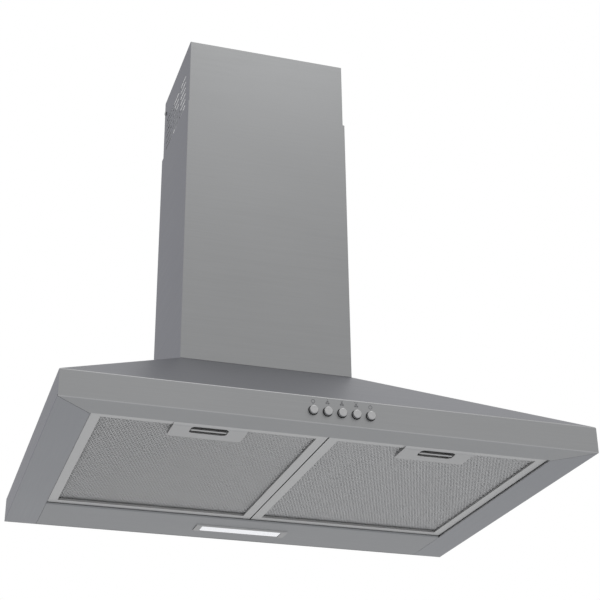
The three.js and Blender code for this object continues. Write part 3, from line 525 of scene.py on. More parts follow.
    def split(self, axis: Axis, *places: float, test: Test | None = None) -> Self:
        """Scores lines into the mesh.

        Args:
            axis: Axis that the cuts cross.
            places: Place of each cut along it.
            test: Faces to cut, or None for all.

        Returns:
            The piece.
        """
        for value in places:
            if test:
                self.faces(test)
            else:
                self.everything()
            point, normal = [0.0, 0.0, HANG], [0.0, 0.0, 0.0]
            point[axis.value], normal[axis.value] = value, 1.0
            bpy.ops.mesh.bisect(plane_co=place(*point), plane_no=normal)
        return self

    def outwards(self) -> Self:
        """Turns every closed body's faces outwards."""
        self.everything()
        bpy.ops.mesh.normals_make_consistent()
        return self

    def modify(self, kind: str, **settings: object) -> Self:
        """Adds a modifier and applies it."""
        self.ready()
        modifier = self.object.modifiers.new(kind.title(), kind)
        for key, value in settings.items():
            setattr(modifier, key, value)
        bpy.ops.object.modifier_apply(modifier=modifier.name)
        return self

    def thicken(self, thickness: float = THIN) -> Self:
        """Gives the open sheet its thickness on the inner side."""
        return self.modify("SOLIDIFY", thickness=thickness * MM, offset=-1, use_even_offset=True,
                           use_quality_normals=True)

    def combine(self, operation: str, others: Iterable[Workpiece]) -> Self:
        """Cuts or joins other pieces one by one, and uses them up."""
        for other in others:
            self.modify("BOOLEAN", operation=operation, object=other.object, solver="EXACT")
            other.discard()
        return self

    def cut(self, *others: Workpiece) -> Self:
        """Takes other pieces' volumes away."""
        return self.combine("DIFFERENCE", others)

    def join(self, *others: Workpiece) -> Self:
        """Adds other pieces' volumes."""
        return self.combine("UNION", others)

    def gather(self, others: Iterable[Workpiece]) -> Self:
        """Takes separate bodies into this object."""
        self.ready()
        for other in others:
            other.object.select_set(True)
        bpy.ops.object.join()
        return self

    def copy(self, name: str, x: float = 0, y: float = 0, z: float = 0) -> Workpiece:
        """Copy with its own mesh, moved to its place."""
        self.ready()
        bpy.ops.object.duplicate()
        twin = Workpiece(name)
        return twin.everything().move(x, y, z)

    def turn(self, axis: Axis, angle: float, to: Vector | None = None) -> Self:
        """Turns the piece about an axis at the wall's foot, then carries it along.

        Args:
            axis: Direction of the axis.
            angle: Angle in radians.
            to: Way to carry it, in metres.

        Returns:
            The piece.
        """
        self.ready()
        pivot = place(0, 0, 0)
        turned = Matrix.Rotation(angle, 4, axis.name)
        shift = to or Vector((0, 0, 0))
        self.object.matrix_world = (
            Matrix.Translation(pivot + shift) @ turned @ Matrix.Translation(-pivot))
        bpy.ops.object.transform_apply()
        return self

    def discard(self) -> None:
        """Removes a piece that has been used up."""
        mesh = self.object.data
        bpy.data.objects.remove(self.object)
        bpy.data.meshes.remove(mesh)

    def paint(self, *materials: Material) -> Self:
        """Sets the piece's materials."""
        self.ready()
        self.object.data.materials.clear()
        for material in materials:
            self.object.data.materials.append(material)
        return self

    def repaint(self, index: int, test: Test) -> Self:
        """Gives the faces that pass a test another of the materials."""
        self.faces(test)
        self.object.active_material_index = index
        bpy.ops.object.material_slot_assign()
        return self

    def smooth(self, angle: float = 35) -> Self:
        """Shades the folds smooth and keeps the flats flat."""
        self.ready()
        bpy.ops.object.shade_smooth_by_angle(angle=math.radians(angle))
        return self.modify("WEIGHTED_NORMAL", keep_sharp=True, weight=100)

    def finish(self, body: str, slot: str, *nodes: str) -> Self:
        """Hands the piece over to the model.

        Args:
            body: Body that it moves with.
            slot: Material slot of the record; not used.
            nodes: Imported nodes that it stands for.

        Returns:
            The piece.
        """
        self.smooth()
        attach(self.object, body)
        if nodes:
            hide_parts(*nodes)
        LOG.info("%s: %d faces on %s", self.object.name, len(self.object.data.polygons), body)
        return self


def deselect() -> None:
    """Leaves edit mode and selects nothing."""
    if bpy.context.mode != "OBJECT":
        bpy.ops.object.mode_set(mode="OBJECT")
    bpy.ops.object.select_all(action="DESELECT")


def local(point: Vector) -> Vector:
    """Point of the model's frame in millimetres from the wall and the underside."""
    return point / MM + Vector((0, 0, HANG))


def slab(xs: Span, ys: Span, zs: Span) -> Workpiece:
    """Plain box that cuts or joins another piece."""
    return Workpiece.box("tool", xs, ys, zs)


# --- canopy


@dataclass
class Canopy:
    """Pyramid of sheet steel with its lip, borders and the rim round the filters."""

    finishes: Finishes
    fold: float = 0.85
    rim: float = 8.0
    rim_edge: float = 0.25
    rear_return: float = 12.0
    joint: float = 0.45
    deck_hole: tuple[Span, Span] = ((-70.0, 70.0), (-165.5, -42.5))
    button_hole: float = 5.4

    def build(self) -> None:
        """Models the sheet and hands it over."""
        shell = self.outside()
        self.open_underside(shell)
        shell.folds(self.is_fold).bevel(self.fold)
        shell.thicken()
        shell.folds(self.is_rim).bevel(self.rim_edge, 2)
        shell.combine("DIFFERENCE", self.tools())
        looks = ("stainless", "inwards", "flank", "slope", "folded")
        shell.paint(*(self.finishes[look] for look in looks))
        shell.repaint(1, self.is_side_border)
        # The canopy's sideways faces get the darker side steel: painted shade.
        shell.repaint(2, lambda c, n: abs(n.x) > 0.3)
        # The front slope gets the darker slope steel: painted shade.
        shell.repaint(3, lambda c, n: n.y < -0.3 and n.z > 0.3)
        # The lip's front folds get the brighter steel as a painted highlight, and the rim walls
        # round the filters get it as painted light.
        shell.repaint(4, self.is_lip_fold)
        shell.repaint(4, self.is_rim_wall)
        shell.finish("hood", "stainless", "canopy_front", "canopy_side_right", "canopy_side_left",
                     "canopy_deck")

    def outside(self) -> Workpiece:
        """Closed outer form: the lip's box drawn up to the deck."""
        half, cover = HOOD_WIDTH / 2, COVER_WIDTH / 2
        shell = Workpiece.box("canopy_shell", (-half, half), (-HOOD_DEPTH, SHELL_REAR), (0, LIP))
        shell.faces(facing(Axis.Z, 1)).extrude(0, 0, CANOPY_TOP - LIP)
        ratio = (COVER_DEPTH + SHELL_REAR) / (HOOD_DEPTH + SHELL_REAR)
        return shell.scale((cover / half, ratio, 1), (0, SHELL_REAR, CANOPY_TOP))

    def open_underside(self, shell: Workpiece) -> None:
        """Opens the rear and the underside, and turns up the rim."""
        back = facing(Axis.Y, 1)
        shell.faces(back).inset(self.rear_return)
        shell.faces(lambda c, n: back(c, n) and 15 < c.z < 150 and abs(c.x) < 1).remove()
        foot: Test = lambda c, n: n.z < -FACING or back(c, n) and c.z < 20
        shell.split(Axis.X, -OPENING_HALF, OPENING_HALF, test=foot)
        shell.split(Axis.Y, OPENING_FRONT, OPENING_REAR, test=foot)
        shell.faces(lambda c, n: abs(n.z) > FACING and c.z < 1 and abs(c.x) < OPENING_HALF
                    and c.y > OPENING_FRONT).remove()
        shell.faces(lambda c, n: back(c, n) and c.z < 20 and abs(c.x) < OPENING_HALF).remove()
        shell.edges(self.is_rim).extrude(0, 0, self.rim)

    @staticmethod
    def is_rim(a: Vector, b: Vector) -> bool:
        """Whether an edge lies on the filters' sides or front of the opening."""
        flat = a.z < 0.1 and b.z < 0.1 and max(a.y, b.y) < OPENING_REAR + 0.1
        beside = any(lying(Axis.X, x)(a, b) for x in (-OPENING_HALF, OPENING_HALF))
        before = lying(Axis.Y, OPENING_FRONT)(a, b)
        inside = (max(abs(a.x), abs(b.x)) < OPENING_HALF + 0.1
                  and min(a.y, b.y) > OPENING_FRONT - 0.1)
        return flat and inside and (beside or before)

    @staticmethod
    def is_fold(a: Vector, b: Vector) -> bool:
        """Whether an edge is one of the rounded folds."""
        outer = max(a.z, b.z) < CANOPY_TOP - 1 or longer(Axis.Z, 100)(a, b)
        return not Canopy.is_rim(a, b) and min(a.y, b.y) < -20 and outer

    @staticmethod
    def is_side_border(centre: Vector, normal: Vector) -> bool:
        """Whether a face belongs to a side border, outside the mitred joint."""
        behind = HOOD_DEPTH + centre.y > HOOD_WIDTH / 2 - abs(centre.x)
        return centre.z < 2 and abs(centre.x) > OPENING_HALF - 5 and behind

    @staticmethod
    def is_lip_fold(centre: Vector, normal: Vector) -> bool:
        """Whether a face lies in the rounded folds along the lip's front."""
        level = abs(centre.z - LIP) < 0.9 or centre.z < 0.8
        return centre.y < -HOOD_DEPTH + 1 and level and abs(normal.z) > 0.05

    @staticmethod
    def is_rim_wall(centre: Vector, normal: Vector) -> bool:
        """Whether a face belongs to the upright rim round the filters."""
        within = (abs(centre.x) < OPENING_HALF + 0.1
                  and OPENING_FRONT - 0.1 < centre.y < OPENING_REAR)
        return within and abs(normal.z) < FACING and 0 < centre.z < Canopy.rim

    def tools(self) -> Iterable[Workpiece]:
        """Cutters of the deck's hole, the button holes and the mitred joints."""
        yield slab(*self.deck_hole, (CANOPY_TOP - 5, CANOPY_TOP + 5))
        for x in Controls.places():
            at = (x, -HOOD_DEPTH, Controls.HEIGHT)
            yield Workpiece.rod("tool", self.button_hole, (-6, 6), Axis.Y, at, 32)
        for side in (-1, 1):
            yield self.mitre(side)

    def mitre(self, side: int) -> Workpiece:
        """Thin blade along the joint between the front and a side border."""
        beyond = 1.5  # past the corner, so that the blade cuts it open
        start = Vector((side * (HOOD_WIDTH / 2 + beyond), -HOOD_DEPTH - beyond, 0)) * MM
        length = (HOOD_WIDTH / 2 - OPENING_HALF + 4) * math.sqrt(2)
        blade = slab((0, length), around(0, self.joint / 2), (-1, 1.5))
        return blade.turn(Axis.Z, math.radians(90 + side * 45), start)


# --- controls


@dataclass
class Controls:
    """Row of round push buttons in the lip, with a plain sign above each."""

    finishes: Finishes
    radius: float = 4.8
    proud: float = 5.0
    skirt: float = 2.5
    stem: float = 2.6
    root: float = 13.3
    rim: float = 1.4
    rings: Triple = (1.7, 0.5, 1.0)  # crown's width, groove and middle
    dish: Pair = (-0.18, 0.1)  # step down at the groove and up to the middle
    sign_height: float = 24.2
    light_bar: Triple = (-3.1, 1.8, 0.6)  # rise over the signs' middle, width and height
    power_bar: Triple = (2.6, 0.6, 0.7)
    dot: Triple = (3.4, 0.8, 0.8)
    dot_pitch: float = 1.4
    ink: float = 0.06
    ring_radii: Pair = (2.2, 1.6)
    blade_radii: Pair = (1.05, 1.35)  # of a blade, and of the circle they stand on

    HEIGHT = 14.0
    PITCH = 16.0
    COUNT = 5

    @classmethod
    def places(cls) -> list[float]:
        """Middle of each button across the hood."""
        return [(i - (cls.COUNT - 1) / 2) * cls.PITCH for i in range(cls.COUNT)]

    def build(self) -> None:
        """Models one button, copies it along the row and prints the signs."""
        pattern = self.button()
        for number, x in enumerate(self.places(), start=1):
            button = pattern.copy(f"push_button_{number}", x)
            button.paint(self.finishes["button_chrome"])
            button.finish(f"button_{number}", "button_chrome", f"button_{number}")
        pattern.discard()
        self.signs().paint(self.finishes["ink"]).finish("hood", "black_plastic")

    def button(self) -> Workpiece:
        """Crowned cap with a rounded rim, on its stem."""
        face, back = -self.proud, self.skirt
        at = (0, -HOOD_DEPTH, self.HEIGHT)
        button = Workpiece.rod("button", self.radius, (face, back), Axis.Y, at)
        button.faces(facing(Axis.Y, 1)).inset(self.radius - self.stem)
        button.extrude(0, self.root - back, 0)
        crown, groove, centre = self.rings
        down, up = self.dish
        button.faces(facing(Axis.Y, -1)).inset(crown).inset(groove, down).inset(centre, up)
        outer = self.radius - 0.1
        button.folds(lambda a, b: max(a.y, b.y) < -HOOD_DEPTH + face + 0.01
                     and min(math.hypot(p.x, p.z - self.HEIGHT) for p in (a, b)) > outer)
        return button.bevel(self.rim, 6)

    def signs(self) -> Workpiece:
        """Flat printed signs: a lamp, a fan with one, two or three dots, and a power ring."""
        light, *fans, power = self.places()
        marks = [self.ring(light), self.bar(light, *self.light_bar)]
        for speed, x in enumerate(fans, start=1):
            marks += [self.blade(x, math.radians(90 + 120 * i)) for i in range(3)]
            dots = [x + (i - (speed - 1) / 2) * self.dot_pitch for i in range(speed)]
            marks += [self.bar(dot, *self.dot) for dot in dots]
        marks += [self.ring(power), self.bar(power, *self.power_bar)]
        first, *rest = marks
        return first.rename("button_signs").gather(rest)

    def blade(self, x: float, angle: float) -> Workpiece:
        """Round blade of a printed fan."""
        radius, reach = self.blade_radii
        at = (x + reach * math.cos(angle), -HOOD_DEPTH, self.sign_height + reach * math.sin(angle))
        return Workpiece.rod("tool", radius, (-self.ink, self.ink), Axis.Y, at, 20)

    def bar(self, x: float, rise: float, width: float, height: float) -> Workpiece:
        """Printed bar."""
        zs = around(self.sign_height + rise, height / 2)
        return slab(around(x, width / 2), around(-HOOD_DEPTH, self.ink), zs)

    def ring(self, x: float) -> Workpiece:
        """Printed ring."""
        outer, inner = self.ring_radii
        at = (x, -HOOD_DEPTH, self.sign_height)
        ring = Workpiece.rod("tool", outer, (-self.ink, self.ink), Axis.Y, at, 24)
        return ring.cut(Workpiece.rod("tool", inner, (-1, 1), Axis.Y, at, 24))


# --- rear strip and lamp


@dataclass
class LightPanel:
    """Rear strip of the underside with its strip lamp."""

    finishes: Finishes
    half: float = 259.7
    height: float = 12.0
    lamp_y: float = -44.75
    lamp_half: Pair = (61.0, 13.75)
    wall_half: Pair = (57.0, 12.55)
    lens_half: Pair = (53.0, 9.75)
    wall: float = 1.2
    lamp_top: float = 9.0
    ledge: float = 3.0
    ledge_zs: Span = (4.7, 5.7)
    flange: float = 1.0
    slant: float = 2.5
    corner: float = 1.6
    front_fold: float = 1.7
    lens_corner: float = 1.2

    def build(self) -> None:
        """Models the panel, the bezel and the lens."""
        panel = self.panel().paint(self.finishes["rear"], self.finishes["crease"])
        # The rounded front fold gets the darker crease steel: painted shade.
        folded = OPENING_REAR + self.front_fold
        panel.repaint(1, lambda c, n: c.y < folded and c.z < 3 and n.y < -0.1)
        panel.finish("hood", "stainless", "rear_light_panel")
        self.bezel().paint(self.finishes["lamp_frame"]).finish("hood", "lamp_frame", "lamp_bezel")
        self.lens().paint(self.finishes["opal"]).finish("hood", "opal", "lamp_lens")

    def panel(self) -> Workpiece:
        """Shallow tray, turned up on all four sides."""
        panel = Workpiece.box("lamp_panel", (-self.half, self.half), (OPENING_REAR, SHELL_REAR),
                              (0, self.height))
        panel.faces(facing(Axis.Z, 1)).remove()
        front = lying(Axis.Y, OPENING_REAR)
        panel.edges(lambda a, b: front(a, b) and min(a.z, b.z) > 1)
        panel.move(0, 0, Canopy.rim - self.height)
        panel.folds(lambda a, b: front(a, b) and max(a.z, b.z) < 0.1).bevel(self.front_fold, 5)
        panel.folds(lambda a, b: min(a.y, b.y) > OPENING_REAR + 2).bevel(Canopy.fold)
        return panel.thicken().cut(self.block(self.wall_half, (-5, 5), GAP))

    def block(self, half: Pair, zs: Span, play: float = 0) -> Workpiece:
        """Box about the lamp's middle."""
        return slab(around(0, half[0] + play), around(self.lamp_y, half[1] + play), zs)

    def bezel(self) -> Workpiece:
        """Rounded frame with walls that stand in the panel's cut-out."""
        bezel = self.block(self.lamp_half, (-self.flange - GAP, -0.05)).rename("lamp_frame")
        bezel.edges(longer(Axis.Z, 0.5)).bevel(self.corner, 4)
        shallow = (1, 1 - self.slant / self.lamp_half[1], 1)
        bezel.faces(facing(Axis.Z, -1)).scale(shallow, (0, self.lamp_y, 0))
        bezel.folds(lying(Axis.Z, -self.flange - GAP)).bevel(0.3)
        cavity = tuple(half - self.wall for half in self.wall_half)
        ledge_x = (cavity[0] - self.ledge, cavity[0] + self.wall / 2)
        ledges = [slab(xs, around(self.lamp_y, self.wall_half[1] / 2), self.ledge_zs)
                  for xs in (ledge_x, (-ledge_x[1], -ledge_x[0]))]
        bezel.join(self.block(self.wall_half, (-0.8, self.lamp_top)))
        bezel.cut(self.block(cavity, (2, 20)), self.block(self.lens_half, (-5, 5), GAP))
        return bezel.join(*ledges)

    def lens(self) -> Workpiece:
        """Opal bar with softened edges."""
        lens = self.block(self.lens_half, (-self.flange, self.flange)).rename("lamp_diffuser")
        lens.edges(longer(Axis.Z, 0.5)).bevel(self.lens_corner)
        return lens.folds(lying(Axis.Z, -self.flange)).bevel(0.5)


# --- chimney


@dataclass
class Chimney:
    """Lower duct cover and the upper one that slides in it, with vents in its sides."""

    finishes: Finishes
    fold: float = 0.75
    sheet: float = 0.65
    rear_return: float = 12.0
    lower_z: Span = (180.3, 570.0)
    upper_z: Span = (282.0, 672.0)
    upper_half: float = 113.5
    upper_depth: float = 167.0
    vent: Pair = (36.0, 3.2)
    vent_first: Pair = (-37.0, 630.0)  # middle of the top slot nearest the wall
    vent_step: Pair = (-44.0, -10.0)
    vents: tuple[int, int] = (3, 9)
    screw: Pair = (-9.0, 650.0)
    screw_hole: float = 1.8

    def build(self) -> None:
        """Models both covers."""
        lower = self.cover("lower_chimney", COVER_WIDTH / 2, (-COVER_DEPTH, 0), self.lower_z)
        upper = self.cover("upper_chimney", self.upper_half, (-self.upper_depth, SHELL_REAR),
                           self.upper_z)
        upper.cut(self.slots(), self.screw_bore())
        for cover in (lower, upper):
            cover.paint(self.finishes["level"], self.finishes["flank"])
            # The covers' sides get the darker side steel: painted shade.
            cover.repaint(1, lambda c, n: abs(n.x) > 0.7)
        lower.finish("hood", "stainless", "lower_duct_cover")
        upper.finish("upper_chimney", "stainless", "upper_duct_cover")

    def cover(self, name: str, half: float, ys: Span, zs: Span) -> Workpiece:
        """Cover folded from one sheet.

        Args:
            name: Name of the piece.
            half: Half the outer width.
            ys: Limits from the wall.
            zs: Limits in height.

        Returns:
            The cover.
        """
        cover = Workpiece.box(name, (-half, half), ys, zs)
        cover.faces(facing(Axis.Z, 1, -1)).remove()
        cover.split(Axis.X, self.rear_return - half, half - self.rear_return)
        cover.faces(lambda c, n: n.y > FACING and abs(c.x) < 1).remove()
        cover.folds(longer(Axis.Z, 100)).bevel(self.fold, 4)
        return cover.thicken(self.sheet)

    def slots(self) -> Workpiece:
        """Cutters of all vents, one round-ended slot repeated through both sides."""
        (length, height), (y, z) = self.vent, self.vent_first
        reach = (-self.upper_half - 5, self.upper_half + 5)
        slot = slab(reach, around(y, length / 2), around(z, height / 2))
        slot.edges(longer(Axis.X, 100)).bevel(height / 2 - 0.02, 5)
        copies = [
            slot.copy("tool", 0, column * self.vent_step[0], row * self.vent_step[1])
            for column in range(self.vents[0]) for row in range(self.vents[1]) if column or row
        ]
        return slot.gather(copies)

    def screw_bore(self) -> Workpiece:
        """Cutter of the holes for the side screws."""
        reach = self.upper_half + 5
        return Workpiece.rod("tool", self.screw_hole, (-reach, reach), Axis.X, (0, *self.screw), 20)


# --- grease filters


class Side(Enum):
    """The two filters, by their middle across the hood."""

    LEFT = -129.95
    RIGHT = 129.95


@dataclass
class GreaseFilter:
    """Frame with expanded-metal layers, a handle plate and a sprung pull bar."""

    finishes: Finishes
    half: float = 129.25
    ys: Span = (-411.2, -92.3)
    zs: Span = (2.0, 11.0)
    face: float = 11.5
    hem: float = 2.6
    sheet: float = 0.5
    fold: float = 0.7
    notch_half: float = 23.9
    notch_ys: Span = (-407.7, -398.7)
    notch_top: float = 5.3
    tongue_notch: tuple[Span, Span] = ((-412.2, -406.7), (2.7, 5.3))
    tab_x: float = 75.0
    tab: tuple[float, Span, Span] = (15.0, (-92.8, -86.0), (8.3, 9.5))
    mesh_z: float = 4.7
    diamond: Pair = (3.9, 9.5)
    strand: float = 1.0
    flatten: float = 0.5  # height of a strand against its width
    pad_half: Pair = (126.0, 156.0)
    backing: tuple[float, Span, Span] = (127.9, (-409.8, -93.7), (5.8, 6.3))
    plate_ys: Span = (-407.2, -368.5)
    plate_zs: Span = (0.3, 1.7)
    plate_half: float = 41.0
    plate_bend: float = -400.5
    plate_crease: float = -403.4
    plate_lift: Pair = (1.4, 0.2)  # of the front's lower and upper edge
    plate_corner: float = 4.0
    plate_side: float = 0.5  # half the thickness of the turned-up sides
    plate_side_ys: Span = (-398.3, -373.0)
    slot_half: float = 20.5
    slot_ys: Span = (-401.8, -383.7)
    slot_corner: float = 4.5
    case_half: float = 25.5
    case_ys: Span = (-399.4, -369.1)
    case_top: float = 7.5
    case_wall: float = 1.6
    case_roof: float = 1.2
    ring_half: float = 23.5
    ring_ys: Span = (-406.7, -380.7)
    ring_zs: Span = (2.0, 5.0)
    bar_half: float = 19.6
    bar_corner: float = 1.5
    bar_ys: Span = (-393.5, -389.7)
    bar_zs: Span = (0.6, 2.4)
    post_half: float = 2.5
    tongue_half: float = 12.0
    tongue_ys: Span = (-411.7, -405.7)
    tongue_zs: Span = (3.0, 5.0)
    tongue_ramp: float = 0.8

    def build(self) -> None:
        """Models one filter about the middle of the hood and copies it to both sides."""
        aluminium = "filter_aluminium"
        parts = (
            ("frame", self.frame, aluminium, aluminium),
            ("mesh", self.layers, "filter_mesh", "filter_mesh"),
            ("handle", self.handle, aluminium, "handle"),
            ("latch", self.latch, aluminium, "handle"),
        )
        for kind, shape, slot, look in parts:
            pattern = shape()
            for side in Side:
                word = side.name.lower()
                piece = pattern.copy(f"grease_filter_{kind}_{word}", side.value)
                body = f"latch_{word}" if kind == "latch" else f"filter_{word}"
                piece.paint(self.finishes[look], self.finishes[aluminium])
                # The handle plate's sloped front strip gets the brighter frame aluminium: a painted
                # highlight that carries on the flange's bright line.
                if kind == "handle":
                    piece.repaint(1, lambda c, n: c.y < self.plate_crease)
                piece.finish(body, slot, f"filter_{kind}_{word}")
            pattern.discard()

    def frame(self) -> Workpiece:
        """Channel folded round the pad, with the hinge tabs and the latch's notches."""
        frame = Workpiece.box("frame", (-self.half, self.half), self.ys, self.zs)
        frame.faces(facing(Axis.Z, 1, -1)).inset(self.face).remove()
        inner = self.half - self.face + 0.1
        low = lying(Axis.Z, self.zs[0])
        frame.edges(lambda a, b: low(a, b) and max(abs(a.x), abs(b.x)) < inner)
        frame.extrude(0, 0, self.hem)
        frame.folds(lambda a, b: min(abs(a.x), abs(b.x)) > inner or max(a.y, b.y) < self.ys[0] + 1
                    or min(a.y, b.y) > self.ys[1] - 1).bevel(self.fold)
        frame.thicken(self.sheet)
        frame.cut(slab(around(0, self.notch_half), self.notch_ys, (1, self.notch_top)),
                  slab(around(0, self.tongue_half + GAP), *self.tongue_notch))
        tab_half, *limits = self.tab
        for x in (-self.tab_x, self.tab_x):
            frame.join(slab(around(x, tab_half), *limits))
        return frame

    def layers(self) -> Workpiece:
        """Two layers of expanded metal on a backing sheet."""
        width, height = self.diamond
        count = 2 * math.ceil(self.pad_half[0] / width + self.pad_half[1] / height) + 1
        centre = (0, middle(self.ys), self.mesh_z + self.strand * self.flatten / 2)
        net = Workpiece.grid("mesh", (count, count), self.diamond, centre)
        net.faces(self.outside_pad).remove()
        net.modify("WIREFRAME", thickness=self.strand * MM, use_replace=True,
                   use_even_offset=False, use_boundary=True)
        net.everything().scale((1, 1, self.flatten), centre)
        second = net.outwards().copy("mesh_2", width / 2, 0, self.strand * self.flatten)
        half, *limits = self.backing
        backing = slab(around(0, half), *limits)
        backing.cut(slab(around(0, self.case_half + GAP), (-411, self.case_ys[1] + GAP), (5, 7)))
        return net.gather([second, backing])

    def outside_pad(self, centre: Vector, normal: Vector) -> bool:
        """Whether a diamond lies off the pad or in the latch's bay."""
        x, y = abs(centre.x), abs(centre.y - middle(self.ys))
        in_bay = x < self.case_half + 3 and centre.y < self.case_ys[1] + 5
        return x > self.pad_half[0] or y > self.pad_half[1] or in_bay

    def handle(self) -> Workpiece:
        """Pressed plate with its finger slot, and the latch's case behind it."""
        plate = Workpiece.box("handle", around(0, self.plate_half), self.plate_ys, self.plate_zs)
        front, bend = (lying(Axis.Y, y) for y in (self.plate_ys[0], self.plate_bend))
        plate.split(Axis.Y, self.plate_bend)
        lower, upper = self.plate_lift
        plate.edges(lambda a, b: front(a, b) and max(a.z, b.z) < 1).move(0, 0, lower)
        plate.edges(lambda a, b: front(a, b) and min(a.z, b.z) > 1.69).move(0, 0, upper)
        plate.split(Axis.Y, self.plate_crease)
        plate.edges(lambda a, b: abs(a.z - b.z) > 1 and min(a.y, b.y) > -380)
        plate.bevel(self.plate_corner, 5)
        plate.folds(lambda a, b: max(a.z, b.z) < 1 and not bend(a, b)).bevel(0.5)
        for side in (-1, 1):
            wall = around(side * (self.plate_half - self.plate_side), self.plate_side)
            plate.join(slab(wall, self.plate_side_ys, (1.3, self.mesh_z - 0.2)))
        case = slab(around(0, self.case_half), self.case_ys,
                    (self.plate_zs[1] - 0.4, self.case_top))
        room = (self.case_ys[0] - 1, self.case_ys[1] - self.case_wall)
        case.cut(slab(around(0, self.notch_half), room, (1, self.case_top - self.case_roof)))
        plate.join(case)
        slot = slab(around(0, self.slot_half), self.slot_ys, (0, 2))
        return plate.cut(slot.edges(longer(Axis.Z, 1)).bevel(self.slot_corner, 6))

    def latch(self) -> Workpiece:
        """Ring with a straight pull bar in the finger slot, and the tongue that holds the front."""
        ring = Workpiece.box("latch", around(0, self.ring_half), self.ring_ys, self.ring_zs)
        ring.cut(slab(around(0, self.slot_half), self.slot_ys, (0, 20)))
        bar = slab(around(0, self.bar_half), self.bar_ys, self.bar_zs)
        bar.edges(longer(Axis.Z, 1)).bevel(self.bar_corner, 4)
        bar.folds(lambda a, b: abs(a.x - b.x) > 10 and max(a.z, b.z) < self.bar_zs[0] + 0.1)
        bar.bevel(self.fold)
        posts = [slab(around(side * (self.bar_half + 1), self.post_half), self.bar_ys,
                      (1.9, self.ring_zs[1])) for side in (-1, 1)]
        tongue = slab(around(0, self.tongue_half), self.tongue_ys, self.tongue_zs)
        front, low = lying(Axis.Y, self.tongue_ys[0]), lying(Axis.Z, self.tongue_zs[0])
        tongue.folds(lambda a, b: front(a, b) and low(a, b)).bevel(self.tongue_ramp)
        return ring.join(tongue, *posts, bar)


# --- small fasteners


@dataclass
class Fasteners:
    """Pan-head screws with a cross recess, on the deck and in the upper cover's sides."""

    finishes: Finishes
    deck_head: Pair = (3.5, 1.7)  # radius and height
    side_head: Pair = (3.2, 1.6)
    shank: float = 1.5
    length: float = 6.0
    recess: Triple = (0.62, 0.42, 0.9)  # share of the head, width, depth
    deck_x: float = 80.0
    deck_ys: Pair = (-139.0, -69.0)
    cover_x: float = 113.8

    def build(self) -> None:
        """Sets every screw in its hole."""
        deck = self.screw(*self.deck_head)
        places = [(x, y) for y in self.deck_ys for x in (-self.deck_x, self.deck_x)]
        for number, (x, y) in enumerate(places, start=1):
            screw = deck.copy(f"deck_screw_{number}", x, y, CANOPY_TOP + GAP)
            screw.finish("hood", "steel", f"blower_screw_{number}")
        cover = self.screw(*self.side_head)
        for side, word in ((-1, "left"), (1, "right")):
            screw = cover.copy(f"side_screw_{word}").turn(Axis.Y, side * math.pi / 2)
            screw.everything().move(side * self.cover_x, *Chimney.screw)
            screw.finish("upper_chimney", "steel", f"cover_screw_{word}")
        deck.discard()
        cover.discard()

    def screw(self, head: float, thick: float) -> Workpiece:
        """Screw that stands on height 0 with its head up, at the origin.

        Args:
            head: Radius of the head.
            thick: Height of the head.

        Returns:
            The screw.
        """
        screw = Workpiece.rod("screw", head, (0, thick), Axis.Z, (0, 0, 0), 32)
        screw.folds(lying(Axis.Z, thick)).bevel(thick * 0.55, 4)
        share, width, depth = self.recess
        for turn in (0, math.pi / 2):
            groove = slab(around(0, head * share), around(0, width), (thick - depth, thick + 1))
            screw.cut(groove.turn(Axis.Z, turn))
        shaft = Workpiece.rod("tool", self.shank, (-self.length, 0.2), Axis.Z, (0, 0, 0), 20)
        shaft.folds(lying(Axis.Z, -self.length)).bevel(0.6, 2)
        return screw.join(shaft).paint(self.finishes["steel"])


# --- works inside


@dataclass
class Works:
    """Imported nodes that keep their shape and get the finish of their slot."""

    finishes: Finishes

    def build(self) -> None:
        """Dresses every node that is still shown."""
        slots = {part["node"]: part["material_slot"] for part in frame["record"]["subparts"]}
        for name, node in sorted(frame["nodes"].items()):
            if node.hide_render:
                continue
            material = self.finishes[slots[name]]
            node.data.materials.clear()
            node.data.materials.append(material)
            LOG.info("%s: %s", name, material.name)


# --- studio


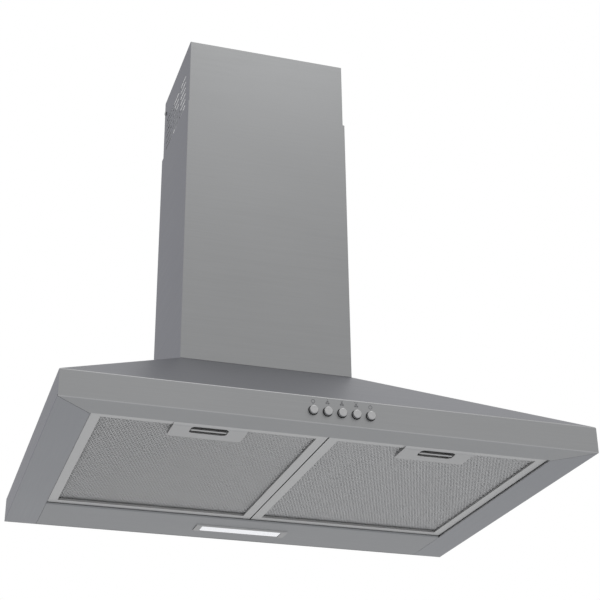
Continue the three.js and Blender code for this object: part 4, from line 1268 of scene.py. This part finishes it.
@dataclass
class Studio:
    """Pale floor, soft lamp, white surroundings and the camera."""

    finishes: Finishes
    camera_at: Triple = (-0.45542, -1.72179, -0.64506)
    bearing: float = 0.2848
    climb: float = 0.4659
    roll: float = -0.0014
    lens: float = 81.84
    shift: Pair = (0.0571, -0.0358)
    floor_z: float = -2.4
    ambient: float = 1.0
    key: Pair = (1.3, 7.5)  # size in metres and power in watts
    key_at: Triple = (0.7, -2.1, 2.6)
    key_target: Triple = (0, -0.2, 0.3)

    def build(self) -> None:
        """Sets up the camera, the surroundings, the lamp and the floor."""
        bpy.context.scene.view_settings.view_transform = "Standard"
        self.camera()
        self.world()
        self.lamp()
        self.floor()

    def camera(self) -> None:
        """Camera at the photograph's place."""
        data = bpy.data.cameras.new("camera")
        data.sensor_width, data.lens = 36, self.lens
        data.shift_x, data.shift_y = self.shift
        camera = self.stand("camera", data, self.camera_at)
        camera.rotation_euler = (math.pi / 2 + self.climb, self.roll, -self.bearing)
        bpy.context.scene.camera = camera

    def stand(self, name: str, data: bpy.types.ID, at: Sequence[float]) -> bpy.types.Object:
        """Camera or lamp set up at its place."""
        thing = bpy.data.objects.new(name, data)
        thing.location = at
        bpy.context.scene.collection.objects.link(thing)
        return thing

    def world(self) -> None:
        """White to the camera and in reflections, softer as a light."""
        world = bpy.data.worlds.new("studio")
        bpy.context.scene.world = world
        world.use_nodes = True
        tree = Tree(world.node_tree)
        soft = tree.feed(tree.nodes["Background"],
                         {"Color": (0.97, 0.98, 1, 1), "Strength": self.ambient})
        white = tree.add("ShaderNodeBackground", {"Color": (1, 1, 1, 1)})
        path = tree.add("ShaderNodeLightPath")
        seen = path.outputs["Is Camera Ray"]
        for ray in ("Is Glossy Ray", "Is Transmission Ray"):
            inputs = {0: seen, 1: path.outputs[ray]}
            seen = tree.add("ShaderNodeMath", inputs, operation="MAXIMUM").outputs[0]
        mix = tree.add("ShaderNodeMixShader", {0: seen, 1: soft.outputs[0], 2: white.outputs[0]})
        tree.feed(tree.nodes["World Output"], {"Surface": mix.outputs[0]})

    def lamp(self) -> None:
        """Soft square lamp."""
        data = bpy.data.lights.new("key_lamp", "AREA")
        data.size, data.energy = self.key
        aim = Vector(self.key_target) - Vector(self.key_at)
        turn = aim.to_track_quat("-Z", "Y").to_euler()
        self.stand("key_lamp", data, self.key_at).rotation_euler = turn

    def floor(self) -> None:
        """Pale floor well below the hood."""
        deselect()
        bpy.ops.mesh.primitive_plane_add(size=12, location=(0, 0, self.floor_z))
        floor = bpy.context.active_object
        floor.name = "floor"
        floor.data.materials.append(self.finishes["floor"])


# --- build


def main() -> None:
    """Builds the scene."""
    logging.basicConfig(level=logging.INFO, format="%(name)s %(message)s")
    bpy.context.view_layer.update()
    finishes = {key: finish.make() for key, finish in FINISHES.items()}
    for maker in (Studio, Canopy, Controls, LightPanel, Chimney, GreaseFilter, Fasteners, Works):
        maker(finishes).build()
    deselect()


if __name__ == "__main__":
    main()
